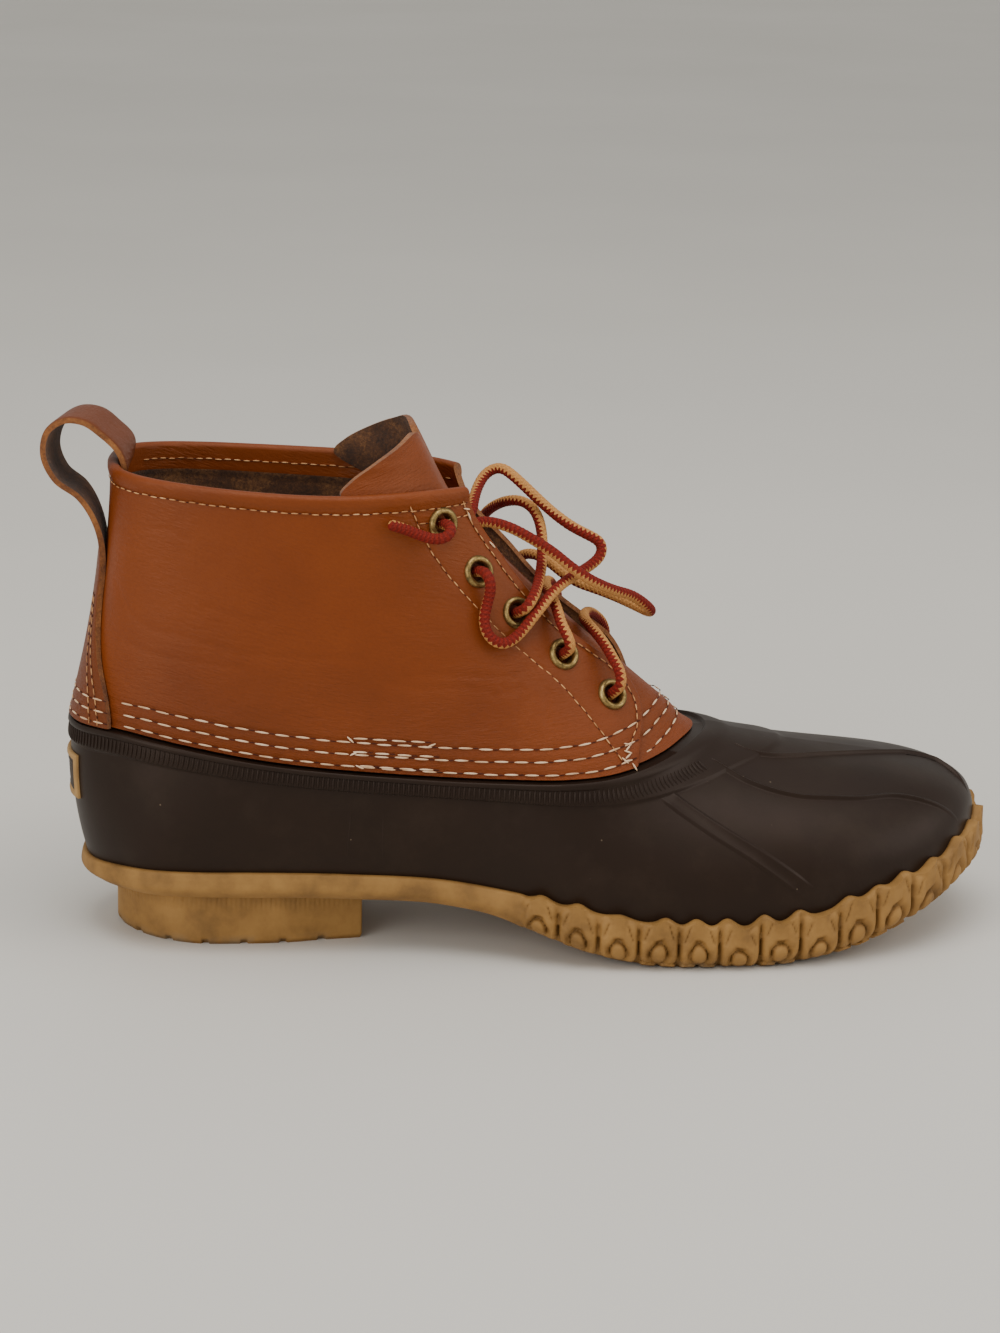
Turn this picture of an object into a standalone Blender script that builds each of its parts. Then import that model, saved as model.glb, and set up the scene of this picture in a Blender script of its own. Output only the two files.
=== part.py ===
"""Duck boot for the right foot: a moulded rubber bottom on a chain-tread outsole, with a laced leather
shaft, a gusseted tongue, a pull loop on the backstay, brass eyelets and one slack round lace.

Metres, +Z up, +X towards the toe, -Y the outer (lateral) side. The origin is the middle of the heel's
flat bottom on the floor. Every surface is worked out from three level lines round the boot, each a
closed ring: the sole line, the rubber edge and the collar."""

import math

import bmesh
import bpy
import numpy as np
from mathutils import Vector

# Overall sizes
LENGTH = 0.306
BALL_WIDTH = 0.104
HEEL_SEAT = 0.0555
SHAFT_HEIGHT = 0.1515
RUBBER_HEIGHT = 0.0600
SHAFT_BACK = 0.0150
SHAFT_LENGTH = 0.119
SHAFT_WIDTH = 0.076

# Rubber bottom
RUBBER_WALL = 0.0028
RUBBER_TUCK = 0.0060
RUBBER_FRONT = 0.2085
HEEL_OVERHANG = 0.0020
TOE_TREAD = 0.0040
FLANGE_WALL = 0.0014
FLANGE_RISE = 0.18
FLANGE_TUCK = 1.1
BAND_STEP = 0.0008
BAND_SHARE = 0.84
RIDGE_HEIGHT = 0.0012
CROWN = 0.0002
FLOOR_TUCK = 0.0060
SKIRT_TUCK = 0.0020

# Outsole
RIM_TOP = 0.0270
HEEL_HEIGHT = 0.0185
TOE_LIFT = 0.0240
SOLE_WEB = 0.0050
RIM_PROUD = 0.0016
RIM_GAP = 0.0012
LIP_SHARE = 0.05
CHAIN_LOBES = 12
CHAIN_START = 0.145
CHAIN_DEPTH = 0.0016
CHAIN_SCALLOP = 0.04
CHAIN_UNDERCUT = 0.0035
LUG_DEPTH = 0.0020
HEEL_LENGTH = 0.0800
HEEL_BACK = 0.0156
HEEL_CHAMFER = 0.0010

# Leather
LEATHER = 0.0021
LEDGE = 0.0010
LEDGE_GAP = 0.0008
COLLAR_ROLL = 0.0008
TONGUE_SINK = 0.0095
TONGUE_RISE = 0.0185
TONGUE_LEAN = 0.0100
TONGUE_SKEW = 0.0040
LOOP_WIDTH = 0.0220
LOOP_RISE = 0.0135
LOOP_REACH = 0.0206
PATCH_WIDTH = 0.0260
PATCH_THICK = 0.0010
PATCH_BORDER = 0.0018
INSOLE_THICK = 0.0035
INSOLE_INSET = 0.0085

# Eyelets and lace
EYELET_FLANGE = 0.0053
EYELET_HOLE = 0.0030
EYELET_WALL = 0.0005
EYELET_CROWN = 0.0015
LACE = 0.0040

GAP = 0.0003
CURVE_GAP = 0.0005
FAN = 0.35
WALL_BULGE = 0.0040
EDGE_BULGE = 0.0022
TOE_BULGE = 0.0010

# Level lines. Stations run from the line's own back end to its front end.
# Columns: station, middle and half width as shares of the ball width, height as a share of the rim's.
SOLE_LINE = [
    (0.000, 0.000, 0.000, 0.89),
    (0.010, 0.000, 0.131, 0.92),
    (0.039, 0.000, 0.240, 0.97),
    (0.071, 0.000, 0.308, 1.00),
    (0.124, 0.000, 0.343, 1.01),
    (0.178, -0.002, 0.353, 1.02),
    (0.286, -0.010, 0.351, 1.00),
    (0.393, -0.026, 0.358, 0.95),
    (0.477, -0.038, 0.404, 0.84),
    (0.551, -0.034, 0.457, 0.70),
    (0.662, -0.017, 0.498, 0.54),
    (0.770, -0.002, 0.493, 0.62),
    (0.827, 0.007, 0.469, 0.77),
    (0.884, 0.019, 0.418, 0.94),
    (0.934, 0.031, 0.339, 1.08),
    (0.965, 0.046, 0.257, 1.22),
    (1.000, 0.058, 0.000, 1.33),
]
# Columns: station, middle and half width as shares of the ball width, height as a share of the rubber's.
RUBBER_LINE = [
    (0.000, 0.000, 0.000, 1.170),
    (0.020, 0.000, 0.135, 1.178),
    (0.049, 0.000, 0.200, 1.185),
    (0.088, 0.000, 0.262, 1.185),
    (0.128, -0.002, 0.303, 1.170),
    (0.201, -0.004, 0.341, 1.130),
    (0.279, -0.006, 0.359, 1.085),
    (0.358, -0.010, 0.365, 1.050),
    (0.510, -0.017, 0.370, 1.008),
    (0.667, -0.019, 0.385, 0.987),
    (0.760, -0.021, 0.388, 0.984),
    (0.824, -0.019, 0.368, 0.992),
    (0.887, -0.014, 0.317, 1.020),
    (0.931, -0.010, 0.250, 1.048),
    (0.971, -0.005, 0.154, 1.080),
    (1.000, 0.000, 0.000, 1.098),
]
# Columns: station, half width as a share of half the shaft's, height as a share of the shaft's.
COLLAR_LINE = [
    (0.000, 0.000, 1.026),
    (0.021, 0.447, 1.024),
    (0.059, 0.632, 1.022),
    (0.109, 0.750, 1.019),
    (0.244, 0.908, 1.011),
    (0.387, 0.982, 1.003),
    (0.504, 1.000, 0.998),
    (0.613, 0.974, 0.995),
    (0.739, 0.868, 0.994),
    (0.874, 0.671, 0.993),
    (0.950, 0.461, 0.990),
    (1.000, 0.000, 0.990),
]
# The sole's underside. Columns: station, height as a share of the heel's, lift as a share of the toe's.
UNDERSIDE = [
    (0.000, 1.00, 0.00),
    (0.300, 1.00, 0.00),
    (0.400, 0.92, 0.00),
    (0.455, 0.76, 0.00),
    (0.500, 0.46, 0.00),
    (0.550, 0.20, 0.00),
    (0.605, 0.04, 0.00),
    (0.640, 0.00, 0.00),
    (0.740, 0.00, 0.00),
    (0.800, 0.00, 0.09),
    (0.870, 0.00, 0.32),
    (0.930, 0.00, 0.62),
    (1.000, 0.00, 1.00),
]


def flow(at, stations, values):
    """A smooth curve through a table's points, read at any place."""
    stations = np.asarray(stations, float)
    values = np.asarray(values, float)
    slopes = np.gradient(values, stations)
    at = np.clip(at, stations[0], stations[-1])
    i = np.clip(np.searchsorted(stations, at, side="right") - 1, 0, len(stations) - 2)
    step = stations[i + 1] - stations[i]
    t = (at - stations[i]) / step
    rise = values[i + 1] - values[i]
    start, end = slopes[i] * step, slopes[i + 1] * step
    return values[i] + t * (start + t * (3 * rise - 2 * start - end + t * (start + end - 2 * rise)))


def smooth(low, high, at):
    """0 below low, 1 above high, and an even turn between."""
    t = np.clip((at - low) / (high - low), 0.0, 1.0)
    return t * t * (3 - 2 * t)


def wrapped(angle):
    """The same place round the boot, from -pi to pi: 0 is the back, pi the front, minus the outer side."""
    return (angle + math.pi) % (2 * math.pi) - math.pi


def fanned(angle):
    """The angle on the next line up, which bunches the columns towards the front."""
    return angle + FAN * np.sin(angle)


def level_line(angle, back, front, table, columns):
    """Points of a closed line, and its height share. columns gives the middle and the half width."""
    turn = np.abs(angle)
    rows = np.array(table)
    at = np.arccos(1 - 2 * rows[:, 0])
    middle, half = columns(turn, at, rows)
    height = flow(turn, at, rows[:, -1])
    x = back + (front - back) * (1 - np.cos(turn)) / 2
    return np.stack([x, middle + np.sign(angle) * half, height], -1)


def of_ball(turn, at, rows):
    return flow(turn, at, rows[:, 1]) * BALL_WIDTH, flow(turn, at, rows[:, 2]) * BALL_WIDTH


def of_shaft(turn, at, rows):
    return 0 * turn, flow(turn, at, rows[:, 1]) * SHAFT_WIDTH / 2


def sole_line(angle):
    line = level_line(
        wrapped(angle), RUBBER_TUCK - HEEL_SEAT, LENGTH - TOE_TREAD - HEEL_SEAT, SOLE_LINE, of_ball
    )
    return line * [1, 1, RIM_TOP]


def rubber_line(angle):
    line = level_line(
        fanned(wrapped(angle)), HEEL_OVERHANG - HEEL_SEAT, RUBBER_FRONT - HEEL_SEAT, RUBBER_LINE, of_ball
    )
    return line * [1, 1, RUBBER_HEIGHT]


def collar_line(angle):
    line = level_line(
        fanned(fanned(wrapped(angle))),
        SHAFT_BACK - HEEL_SEAT,
        SHAFT_BACK + SHAFT_LENGTH - HEEL_SEAT,
        COLLAR_LINE,
        of_shaft,
    )
    return line * [1, 1, SHAFT_HEIGHT]


def outward(line, angle):
    """The level direction out of a line, at right angles to it."""
    small = 1e-3
    along = line(angle + small) - line(angle - small)
    out = np.stack([-along[..., 1], along[..., 0], 0 * along[..., 0]], -1)
    return out / np.linalg.norm(out, axis=-1, keepdims=True)


def curve_between(p0, p1, p2, p3, t):
    t = np.asarray(t)[..., None]
    s = 1 - t
    return s**3 * p0 + 3 * s * s * t * p1 + 3 * s * t * t * p2 + t**3 * p3


def mixed(side, front, share):
    return side + (front - side) * share


def rubber(angle, t):
    """The rubber bottom's outer face, from the sole line at t = 0 to the rubber edge at t = 1."""
    low, high = sole_line(angle), rubber_line(angle)
    turn = np.abs(wrapped(angle))
    front = smooth(math.radians(70), math.radians(165), turn)[..., None]
    toe = smooth(math.radians(140), math.radians(178), turn)[..., None]
    up = (high - low) * [0, 0, 1]
    back = (high - low) * [1, 1, 0]
    out = outward(sole_line, angle)
    lean = (np.sin(turn) * np.sign(wrapped(angle)) * CROWN)[..., None] * front * [0, 0, 1]
    p1 = low + mixed(up * 0.28 + out * WALL_BULGE, up * 0.72 + out * TOE_BULGE, front) + lean * 0.6
    crest = up * (0.03 * toe - 0.46) - back * (0.40 + 0.22 * toe)
    p2 = high + mixed(up * -0.32 + out * EDGE_BULGE, crest, front) + lean
    return curve_between(low, p1, p2, high, t)


def shaft(angle, t):
    """The leather's outer face, from the ledge of the rubber at t = 0 to the collar at t = 1 and past it."""
    low, high = rubber_line(angle) - outward(rubber_line, angle) * LEDGE, collar_line(angle)
    front = smooth(math.radians(95), math.radians(170), np.abs(wrapped(angle)))[..., None]
    up = (high - low) * [0, 0, 1]
    across = (high - low) * [1, 1, 0]
    p1 = low + mixed(up * 0.25 + across * 0.45, up * 0.30 + across * 0.28, front)
    p2 = high - mixed(up * 0.42, up * 0.26 + across * 0.16, front)
    return curve_between(low, p1, p2, high, t)


def raised(surface, angle, t, height):
    """A point of the surface moved out along its normal."""
    small = 1e-3
    angle, t, height = np.broadcast_arrays(angle, t, height)
    round_it = surface(angle + small, t) - surface(angle - small, t)
    up_it = surface(angle, t + small) - surface(angle, t - small)
    normal = np.cross(up_it, round_it)
    normal /= np.linalg.norm(normal, axis=-1, keepdims=True)
    return surface(angle, t) + normal * height[..., None]


def new_object(name, points, faces, smooth_angle=40.0):
    mesh = bpy.data.meshes.new(name)
    mesh.from_pydata([tuple(p) for p in points], [], faces)
    bm = bmesh.new()
    bm.from_mesh(mesh)
    bmesh.ops.recalc_face_normals(bm, faces=bm.faces[:])
    bm.to_mesh(mesh)
    bm.free()
    mesh.shade_smooth()
    mesh.set_sharp_from_angle(angle=math.radians(smooth_angle))
    obj = bpy.data.objects.new(name, mesh)
    boot.objects.link(obj)
    return obj


def loft(name, rings):
    """A solid through closed rows of points. The two outer rows are closed by strips of faces between
    mirrored places."""
    rows, count = len(rings), len(rings[0])
    faces = []
    for r in range(rows - 1):
        for c in range(count):
            n = (c + 1) % count
            faces.append((r * count + c, r * count + n, (r + 1) * count + n, (r + 1) * count + c))
    for start in (0, (rows - 1) * count):
        for c in range(count // 2):
            corners = [start + c, start + c + 1, start + count - c - 1, start + (count - c) % count]
            corners = list(dict.fromkeys(corners))
            if len(corners) > 2:
                faces.append(tuple(corners))
    return new_object(name, np.concatenate(rings), faces)


def slab(name, top, bottom):
    """A solid between two grids of points, each rows by columns, with its four sides closed."""
    rows, count, _ = top.shape
    size = rows * count
    faces = []
    for r in range(rows - 1):
        for c in range(count - 1):
            i = r * count + c
            faces.append((i, i + 1, i + count + 1, i + count))
            faces.append((size + i + count, size + i + count + 1, size + i + 1, size + i))
    rim = [c for c in range(count)] + [r * count + count - 1 for r in range(1, rows)]
    rim += [(rows - 1) * count + c for c in range(count - 2, -1, -1)]
    rim += [r * count for r in range(rows - 2, 0, -1)]
    for a, b in zip(rim, rim[1:] + rim[:1]):
        faces.append((b, a, size + a, size + b))
    return new_object(name, np.concatenate([top.reshape(-1, 3), bottom.reshape(-1, 3)]), faces)


def finish(obj, colour, roughness, metallic=0.0):
    material = bpy.data.materials.new(obj.name)
    material.use_nodes = True
    shader = material.node_tree.nodes["Principled BSDF"]
    shader.inputs["Base Color"].default_value = (*colour, 1.0)
    shader.inputs["Roughness"].default_value = roughness
    shader.inputs["Metallic"].default_value = metallic
    obj.data.materials.clear()
    obj.data.materials.append(material)
    return obj


RUBBER_BROWN = (0.030, 0.020, 0.017)
CREPE_TAN = (0.330, 0.190, 0.065)
LEATHER_TAN = (0.270, 0.075, 0.018)
BRASS = (0.560, 0.430, 0.200)
LACE_RED = (0.220, 0.030, 0.015)
INSOLE_TAN = (0.250, 0.130, 0.060)


def station(angle):
    """Share of the boot's length at a place on the sole line."""
    return (sole_line(angle)[..., 0] + HEEL_SEAT) / LENGTH


def underside(angle):
    """Height of the sole's underside, bars and all."""
    rows = np.array(UNDERSIDE)
    at = station(angle)
    height = flow(at, rows[:, 0], rows[:, 1]) * HEEL_HEIGHT + flow(at, rows[:, 0], rows[:, 2]) * TOE_LIFT
    return np.maximum(height, 0.0)


def pushed(line, angle, push, height):
    """A level line moved out by a distance, at a height of its own."""
    place = line(angle) + outward(line, angle) * np.broadcast_to(push, angle.shape)[:, None]
    place[:, 2] = height
    return place


def mirrored(half):
    """Places on both sides, from those between the back and the front."""
    return np.concatenate([half, -half[-2:0:-1]])


# Rubber bottom: a tub with ridges over the toe, a band at its edge and a flange inside the leather.
RIDGES = (math.radians(126.0), math.radians(156.0))
RIDGE_HALF = math.radians(1.6)


def rubber_columns():
    """Places round the boot, with three for each ridge. The same on both sides."""
    plain = np.linspace(0, math.pi, 26)
    near = np.concatenate([[r - RIDGE_HALF, r, r + RIDGE_HALF] for r in RIDGES])
    kept = [a for a in plain if np.abs(near - a).min() > RIDGE_HALF]
    return mirrored(np.sort(np.concatenate([kept, near])))


def ridge_height(angle, t):
    at = np.abs(wrapped(angle))
    rise = sum(np.clip(1 - np.abs(at - r) / RIDGE_HALF, 0, 1) for r in RIDGES)
    return RIDGE_HEIGHT * rise * smooth(0.02, 0.12, t) * (1 - smooth(0.70, BAND_SHARE, t))


def rubber_bottom():
    angle = rubber_columns()
    front = smooth(math.radians(100), math.radians(114), np.abs(wrapped(angle)))
    floor = underside(angle) + SOLE_WEB
    rings = [pushed(sole_line, angle, -FLOOR_TUCK, floor)]
    rings.append(pushed(sole_line, angle, -SKIRT_TUCK, floor + 0.1 * SOLE_WEB))
    for t in (0.0, 0.10, 0.24, 0.40, 0.56, 0.71, BAND_SHARE - 0.02):
        rings.append(raised(rubber, angle, t, ridge_height(angle, t)))
    rings.append(raised(rubber, angle, BAND_SHARE, BAND_STEP))
    inset = (1 + front * FLANGE_TUCK) * (LEATHER + 2 * CURVE_GAP)
    for edge in (raised(rubber, angle, 1.0, BAND_STEP), raised(shaft, angle, 0.0, -inset)):
        edge[:, 2] = rubber_line(angle)[:, 2]
        rings.append(edge)
    rise = FLANGE_RISE * (1 - 0.6 * front)
    rings.append(raised(shaft, angle, rise, -inset))
    rings.append(raised(shaft, angle, rise, -inset - FLANGE_WALL))
    rings.append(raised(shaft, angle, 0.03, -inset - FLANGE_WALL))
    for t in (0.97, 0.78, 0.48, 0.20):
        rings.append(raised(rubber, angle, t, -RUBBER_WALL))
    rings.append(pushed(sole_line, angle, -FLOOR_TUCK - GAP, floor + RUBBER_WALL))
    return finish(loft("rubber_bottom", rings), RUBBER_BROWN, 0.42)


# Outsole: a rim with chain lobes round the forefoot, bars under it, and the heel block.
LOBE_CUTS = (0.0, 0.22, 0.78)
LOBE_SHAPE = (0.0, 1.0, 1.0)
# The heel block's outline. Columns: station along the block, half width as a share of the ball width.
HEEL_LINE = [
    (0.000, 0.000),
    (0.012, 0.055),
    (0.040, 0.100),
    (0.109, 0.173),
    (0.230, 0.240),
    (0.342, 0.269),
    (0.504, 0.274),
    (0.667, 0.269),
    (0.840, 0.245),
    (1.000, 0.222),
]


def chain_columns():
    """Places from the back to the toe tip with three for each lobe, and how much lobe each one has."""
    fine = np.linspace(0, math.pi, 2001)
    line = sole_line(fine)
    run = np.concatenate([[0], np.cumsum(np.linalg.norm(np.diff(line, axis=0), axis=1))])
    start = np.interp(CHAIN_START - HEEL_SEAT, line[:, 0], run)
    pitch = (run[-1] - start) / CHAIN_LOBES
    steps = [start + pitch * (i + cut) for i in range(CHAIN_LOBES) for cut in LOBE_CUTS]
    plain = np.linspace(0, np.interp(start, run, fine), 14)[:-1]
    half = np.concatenate([plain, np.interp(steps, run, fine), [math.pi]])
    lobe = np.concatenate([0 * plain, np.tile(LOBE_SHAPE, CHAIN_LOBES), [0.0]])
    chain = np.concatenate([0 * plain, np.ones(len(half) - len(plain))])
    return mirrored(half), np.abs(mirrored(lobe)), np.abs(mirrored(chain))


def outsole():
    angle, lobe, chain = chain_columns()
    low = underside(angle)
    line = sole_line(angle)[:, 2]
    floor = low + SOLE_WEB - GAP
    bulge = RIM_PROUD + CHAIN_DEPTH * lobe * chain
    lip = LIP_SHARE + CHAIN_SCALLOP * lobe * chain
    rings = [
        pushed(sole_line, angle, CURVE_GAP - FLOOR_TUCK, floor),
        pushed(sole_line, angle, CURVE_GAP - SKIRT_TUCK, floor + 0.1 * SOLE_WEB),
        raised(rubber, angle, 0.0, RIM_GAP + 0 * low),
        raised(rubber, angle, lip, RIM_GAP + 0 * low),
        raised(rubber, angle, lip, bulge),
        pushed(sole_line, angle, bulge * 1.25, line - (line - low) * 0.30),
        pushed(sole_line, angle, bulge, line - (line - low) * 0.75),
        pushed(sole_line, angle, bulge - CHAIN_UNDERCUT, low + LUG_DEPTH * (1 - lobe) * chain),
    ]
    sole = loft("outsole", rings)
    join(sole, heel_block(), "UNION")
    return finish(sole, CREPE_TAN, 0.62)


def heel_block():
    """The block under the heel seat, with an upright wall and a straight breast."""
    rows = np.array(HEEL_LINE)
    turn = np.linspace(0, math.pi, 15)
    share = (1 - np.cos(turn)) / 2
    half = flow(turn, np.arccos(1 - 2 * rows[:, 0]), rows[:, 1]) * BALL_WIDTH
    half[0] = 0.0
    rings = []
    for height, inset in ((0.0, HEEL_CHAMFER), (HEEL_CHAMFER, 0.0), (HEEL_HEIGHT + SOLE_WEB / 2, 0.0)):
        x = HEEL_BACK - HEEL_SEAT + inset + share * (HEEL_LENGTH - 2 * inset)
        y = half - inset * (half > 0)
        near = np.stack([x, y, height + 0 * x], -1)
        rings.append(np.concatenate([near, (near * [1, -1, 1])[:0:-1]]))
    return loft("heel_block", rings)


def join(obj, other, operation):
    """Joins on or cuts away another object's shape, and keeps that object among the cutters."""
    modifier = obj.modifiers.new(other.name, "BOOLEAN")
    modifier.operation = operation
    modifier.object = other
    boot.objects.unlink(other)
    cutters.objects.link(other)
    other.hide_render = True
    other.display_type = "WIRE"


# Leather quarters: one wall round the heel from facing to facing, with a rolled collar.
# The facing's edge. Columns: height along the shaft, place round the boot in degrees.
FACING = [
    (0.00, 122.5),
    (0.10, 133.5),
    (0.18, 144.7),
    (0.25, 150.0),
    (0.32, 150.0),
    (0.39, 146.3),
    (0.47, 141.8),
    (0.57, 139.0),
    (0.68, 136.9),
    (0.76, 135.3),
    (0.83, 132.2),
    (0.90, 128.1),
    (1.00, 123.8),
]


def facing(t):
    rows = np.array(FACING)
    return np.radians(flow(t, rows[:, 0], rows[:, 1]))


def on_ledge(rows, angle):
    """Sets the first row of a leather sheet level, just above the rubber's ledge."""
    rows[0][:, 2] = rubber_line(angle)[:, 2] + LEDGE_GAP
    return np.stack(rows)


def quarters():
    across = np.linspace(-1, 1, 43)
    wall = [(t, 0.0, -LEATHER) for t in (0.004, 0.09, 0.17, 0.24, 0.31, 0.42, 0.56, 0.72, 0.86)]
    wall += [(0.96, 0.0, -LEATHER), (0.97, COLLAR_ROLL, -LEATHER), (0.99, COLLAR_ROLL, -LEATHER)]
    wall += [(1.0, -0.2 * LEATHER, -0.8 * LEATHER)]
    grids = []
    for face in (1, 2):
        rows = [raised(shaft, across * facing(row[0]), row[0], row[face]) for row in wall]
        grids.append(on_ledge(rows, across * facing(wall[0][0])))
    return finish(slab("upper_quarters", *grids), LEATHER_TAN, 0.48)


# Eyelets: five brass rings a side. Columns: height along the shaft, degrees back from the facing's edge.
EYELETS = [
    (0.903, 26.2),
    (0.737, 19.7),
    (0.579, 14.2),
    (0.414, 13.9),
    (0.248, 14.0),
]


def eyelet_seat(row, side):
    """The eyelet's middle on the leather's face, and the direction out of it."""
    t, setback = EYELETS[row]
    angle = side * (facing(t) - math.radians(setback))
    foot = raised(shaft, angle, t, 0.0)
    tip = raised(shaft, angle, t, 1.0)
    return Vector(foot), Vector(tip - foot)


def stood(obj, place, direction):
    obj.location = place
    obj.rotation_mode = "QUATERNION"
    obj.rotation_quaternion = direction.to_track_quat("Z", "Y")
    return obj


def eyelet(name, row, side):
    """A ring turned from its section: a crowned flange outside, and a barrel through the leather."""
    profile = [
        (EYELET_FLANGE * 0.86, EYELET_CROWN),
        (EYELET_FLANGE, 2 * GAP),
        (EYELET_HOLE + EYELET_WALL, 2 * GAP),
        (EYELET_HOLE + EYELET_WALL, -LEATHER - EYELET_WALL),
        (EYELET_HOLE, -LEATHER - EYELET_WALL),
        (EYELET_HOLE, EYELET_CROWN),
    ]
    mesh = bpy.data.meshes.new(name)
    edges = [(i, (i + 1) % len(profile)) for i in range(len(profile))]
    mesh.from_pydata([(r, 0, z) for r, z in profile], edges, [])
    obj = bpy.data.objects.new(name, mesh)
    boot.objects.link(obj)
    screw = obj.modifiers.new("turn", "SCREW")
    screw.steps = screw.render_steps = 10
    screw.use_merge_vertices = True
    screw.merge_threshold = 0.00001
    screw.use_smooth_shade = True
    return finish(stood(obj, *eyelet_seat(row, side)), BRASS, 0.35, 1.0)


def punch(wall, row, side):
    """The hole in the leather that an eyelet's barrel goes through."""
    mesh = bpy.data.meshes.new("punch")
    size = EYELET_HOLE + EYELET_WALL + GAP
    bm = bmesh.new()
    bmesh.ops.create_cone(bm, cap_ends=True, segments=12, radius1=size, radius2=size, depth=4 * LEATHER)
    bm.to_mesh(mesh)
    bm.free()
    cutter = bpy.data.objects.new(f"punch_{row}_{side}", mesh)
    boot.objects.link(cutter)
    join(wall, stood(cutter, *eyelet_seat(row, side)), "DIFFERENCE")


# Tongue: one sheet from the rubber edge, under the facings and out above the collar, cupped backwards.
# Columns: height along the shaft, rise above the collar, half spread in degrees, depth behind the facings.
TONGUE = [
    (0.004, 0.00, 61.0, 0.00),
    (0.060, 0.00, 61.0, 0.00),
    (0.120, 0.00, 61.0, 0.02),
    (0.190, 0.00, 61.0, 0.14),
    (0.270, 0.00, 62.0, 0.26),
    (0.360, 0.00, 65.0, 0.38),
    (0.480, 0.00, 70.0, 0.55),
    (0.620, 0.00, 78.0, 0.72),
    (0.780, 0.00, 88.0, 0.86),
    (0.920, 0.00, 101.0, 0.96),
    (0.990, 0.00, 115.0, 1.00),
    (0.990, 0.25, 110.0, 1.00),
    (0.990, 0.50, 100.0, 1.00),
    (0.990, 0.75, 83.0, 1.00),
    (0.990, 0.92, 60.0, 1.00),
    (0.990, 1.00, 34.0, 1.00),
]


def tongue():
    across = np.linspace(-1, 1, 17)
    lifted = np.array([-TONGUE_LEAN, TONGUE_SKEW, TONGUE_RISE])
    grids = []
    for layer in (0.0, LEATHER):
        rows = []
        for t, rise, spread, depth in TONGUE:
            angle = math.pi + across * math.radians(spread)
            hollow = 1 - (across * spread / max(spread, 95.0)) ** 2 if rise else 1 - across**2
            sink = LEATHER + CURVE_GAP + depth * TONGUE_SINK * hollow + layer
            rows.append(raised(shaft, angle, t, -sink) + rise * lifted)
        grids.append(on_ledge(rows, math.pi + across * math.radians(TONGUE[0][2])))
    return finish(slab("tongue", *grids), LEATHER_TAN, 0.50)


# Backstay and pull loop: a strap sewn up the back seam, turned over and sewn inside the collar.
# On the shaft. Columns: height along the shaft, half width as a share of the strap's.
BACKSTAY = [
    (0.008, 2.04),
    (0.080, 1.98),
    (0.180, 1.84),
    (0.290, 1.60),
    (0.420, 1.30),
    (0.550, 1.06),
    (0.660, 1.00),
]
# Off it. Columns: place behind the collar's back and height above the collar, as shares of the loop's
# reach and rise, and the far edge's forward skew as a share of the strap's width.
LOOP_OVER = [
    (0.14, -1.87, 0.00),
    (0.47, -0.83, 0.05),
    (0.82, -0.42, 0.10),
    (1.00, 0.20, 0.15),
    (0.92, 0.75, 0.20),
    (0.67, 1.00, 0.22),
    (0.38, 0.96, 0.22),
    (0.11, 0.68, 0.20),
    (-0.17, 0.22, 0.16),
    (-0.24, -0.10, 0.06),
]
LOOP_INSIDE = (0.955, 0.900, 0.850)


def backstay_loop():
    across = np.linspace(-1, 1, 11)
    half = LOOP_WIDTH / 2
    fine = np.linspace(0, math.pi / 2, 401)
    rows = []
    for t, width in BACKSTAY:
        edge = np.interp(width * half, shaft(fine, np.full(401, t))[:, 1], fine)
        rows.append(raised(shaft, across * edge, t, CURVE_GAP + LEATHER / 2))
    back = collar_line(np.zeros(1))[0]
    for reach, rise, skew in LOOP_OVER:
        x = back[0] - reach * LOOP_REACH + (across + 1) / 2 * skew * LOOP_WIDTH
        rows.append(np.stack([x, across * half, back[2] + rise * LOOP_RISE + 0 * across], -1))
    for t in LOOP_INSIDE:
        edge = np.interp(half, shaft(fine, np.full(401, t))[:, 1], fine)
        rows.append(raised(shaft, across * edge, t, -CURVE_GAP - 1.5 * LEATHER))
    middle = np.stack(rows)
    normal = np.cross(np.gradient(middle, axis=1), np.gradient(middle, axis=0))
    normal *= LEATHER / 2 / np.linalg.norm(normal, axis=-1, keepdims=True)
    return finish(slab("backstay_loop", middle + normal, middle - normal), LEATHER_TAN, 0.52)


# Heel patch: a bare plate with a raised border, on the back of the rubber.
PATCH_LOW = 0.46
PATCH_HIGH = 0.76


def heel_patch():
    fine = np.linspace(0, math.pi / 2, 401)
    edge = np.interp(PATCH_WIDTH / 2, rubber(fine, np.full(401, PATCH_LOW))[:, 1], fine)
    rim = PATCH_BORDER / (PATCH_WIDTH / 2)
    across = np.concatenate([[-1], np.linspace(rim - 1, 1 - rim, 5), [1]])
    across = np.sort(np.concatenate([across, [rim * 1.3 - 1, 1 - rim * 1.3]]))
    up = np.array([0.0, 2 * rim, 2.6 * rim, 0.5, 1 - 2.6 * rim, 1 - 2 * rim, 1.0])
    field = (np.abs(across) < 1 - rim * 1.1)[None, :] & (np.abs(2 * up - 1) < 1 - 4.4 * rim)[:, None]
    top = []
    under = []
    for share, inside in zip(up, field):
        t = PATCH_LOW + share * (PATCH_HIGH - PATCH_LOW)
        top.append(raised(rubber, across * edge, t, GAP + PATCH_THICK * (1 - 0.5 * inside)))
        under.append(raised(rubber, across * edge, t, GAP))
    return finish(slab("heel_patch", np.stack(top), np.stack(under)), CREPE_TAN, 0.55)


def insole():
    angle = mirrored(np.linspace(0, math.pi, 25))
    floor = underside(angle) + SOLE_WEB + RUBBER_WALL + 2 * CURVE_GAP
    rings = [pushed(sole_line, angle, -INSOLE_INSET, floor)]
    rings.append(pushed(sole_line, angle, -INSOLE_INSET, floor + INSOLE_THICK))
    return finish(loft("insole", rings), INSOLE_TAN, 0.80)


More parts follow.
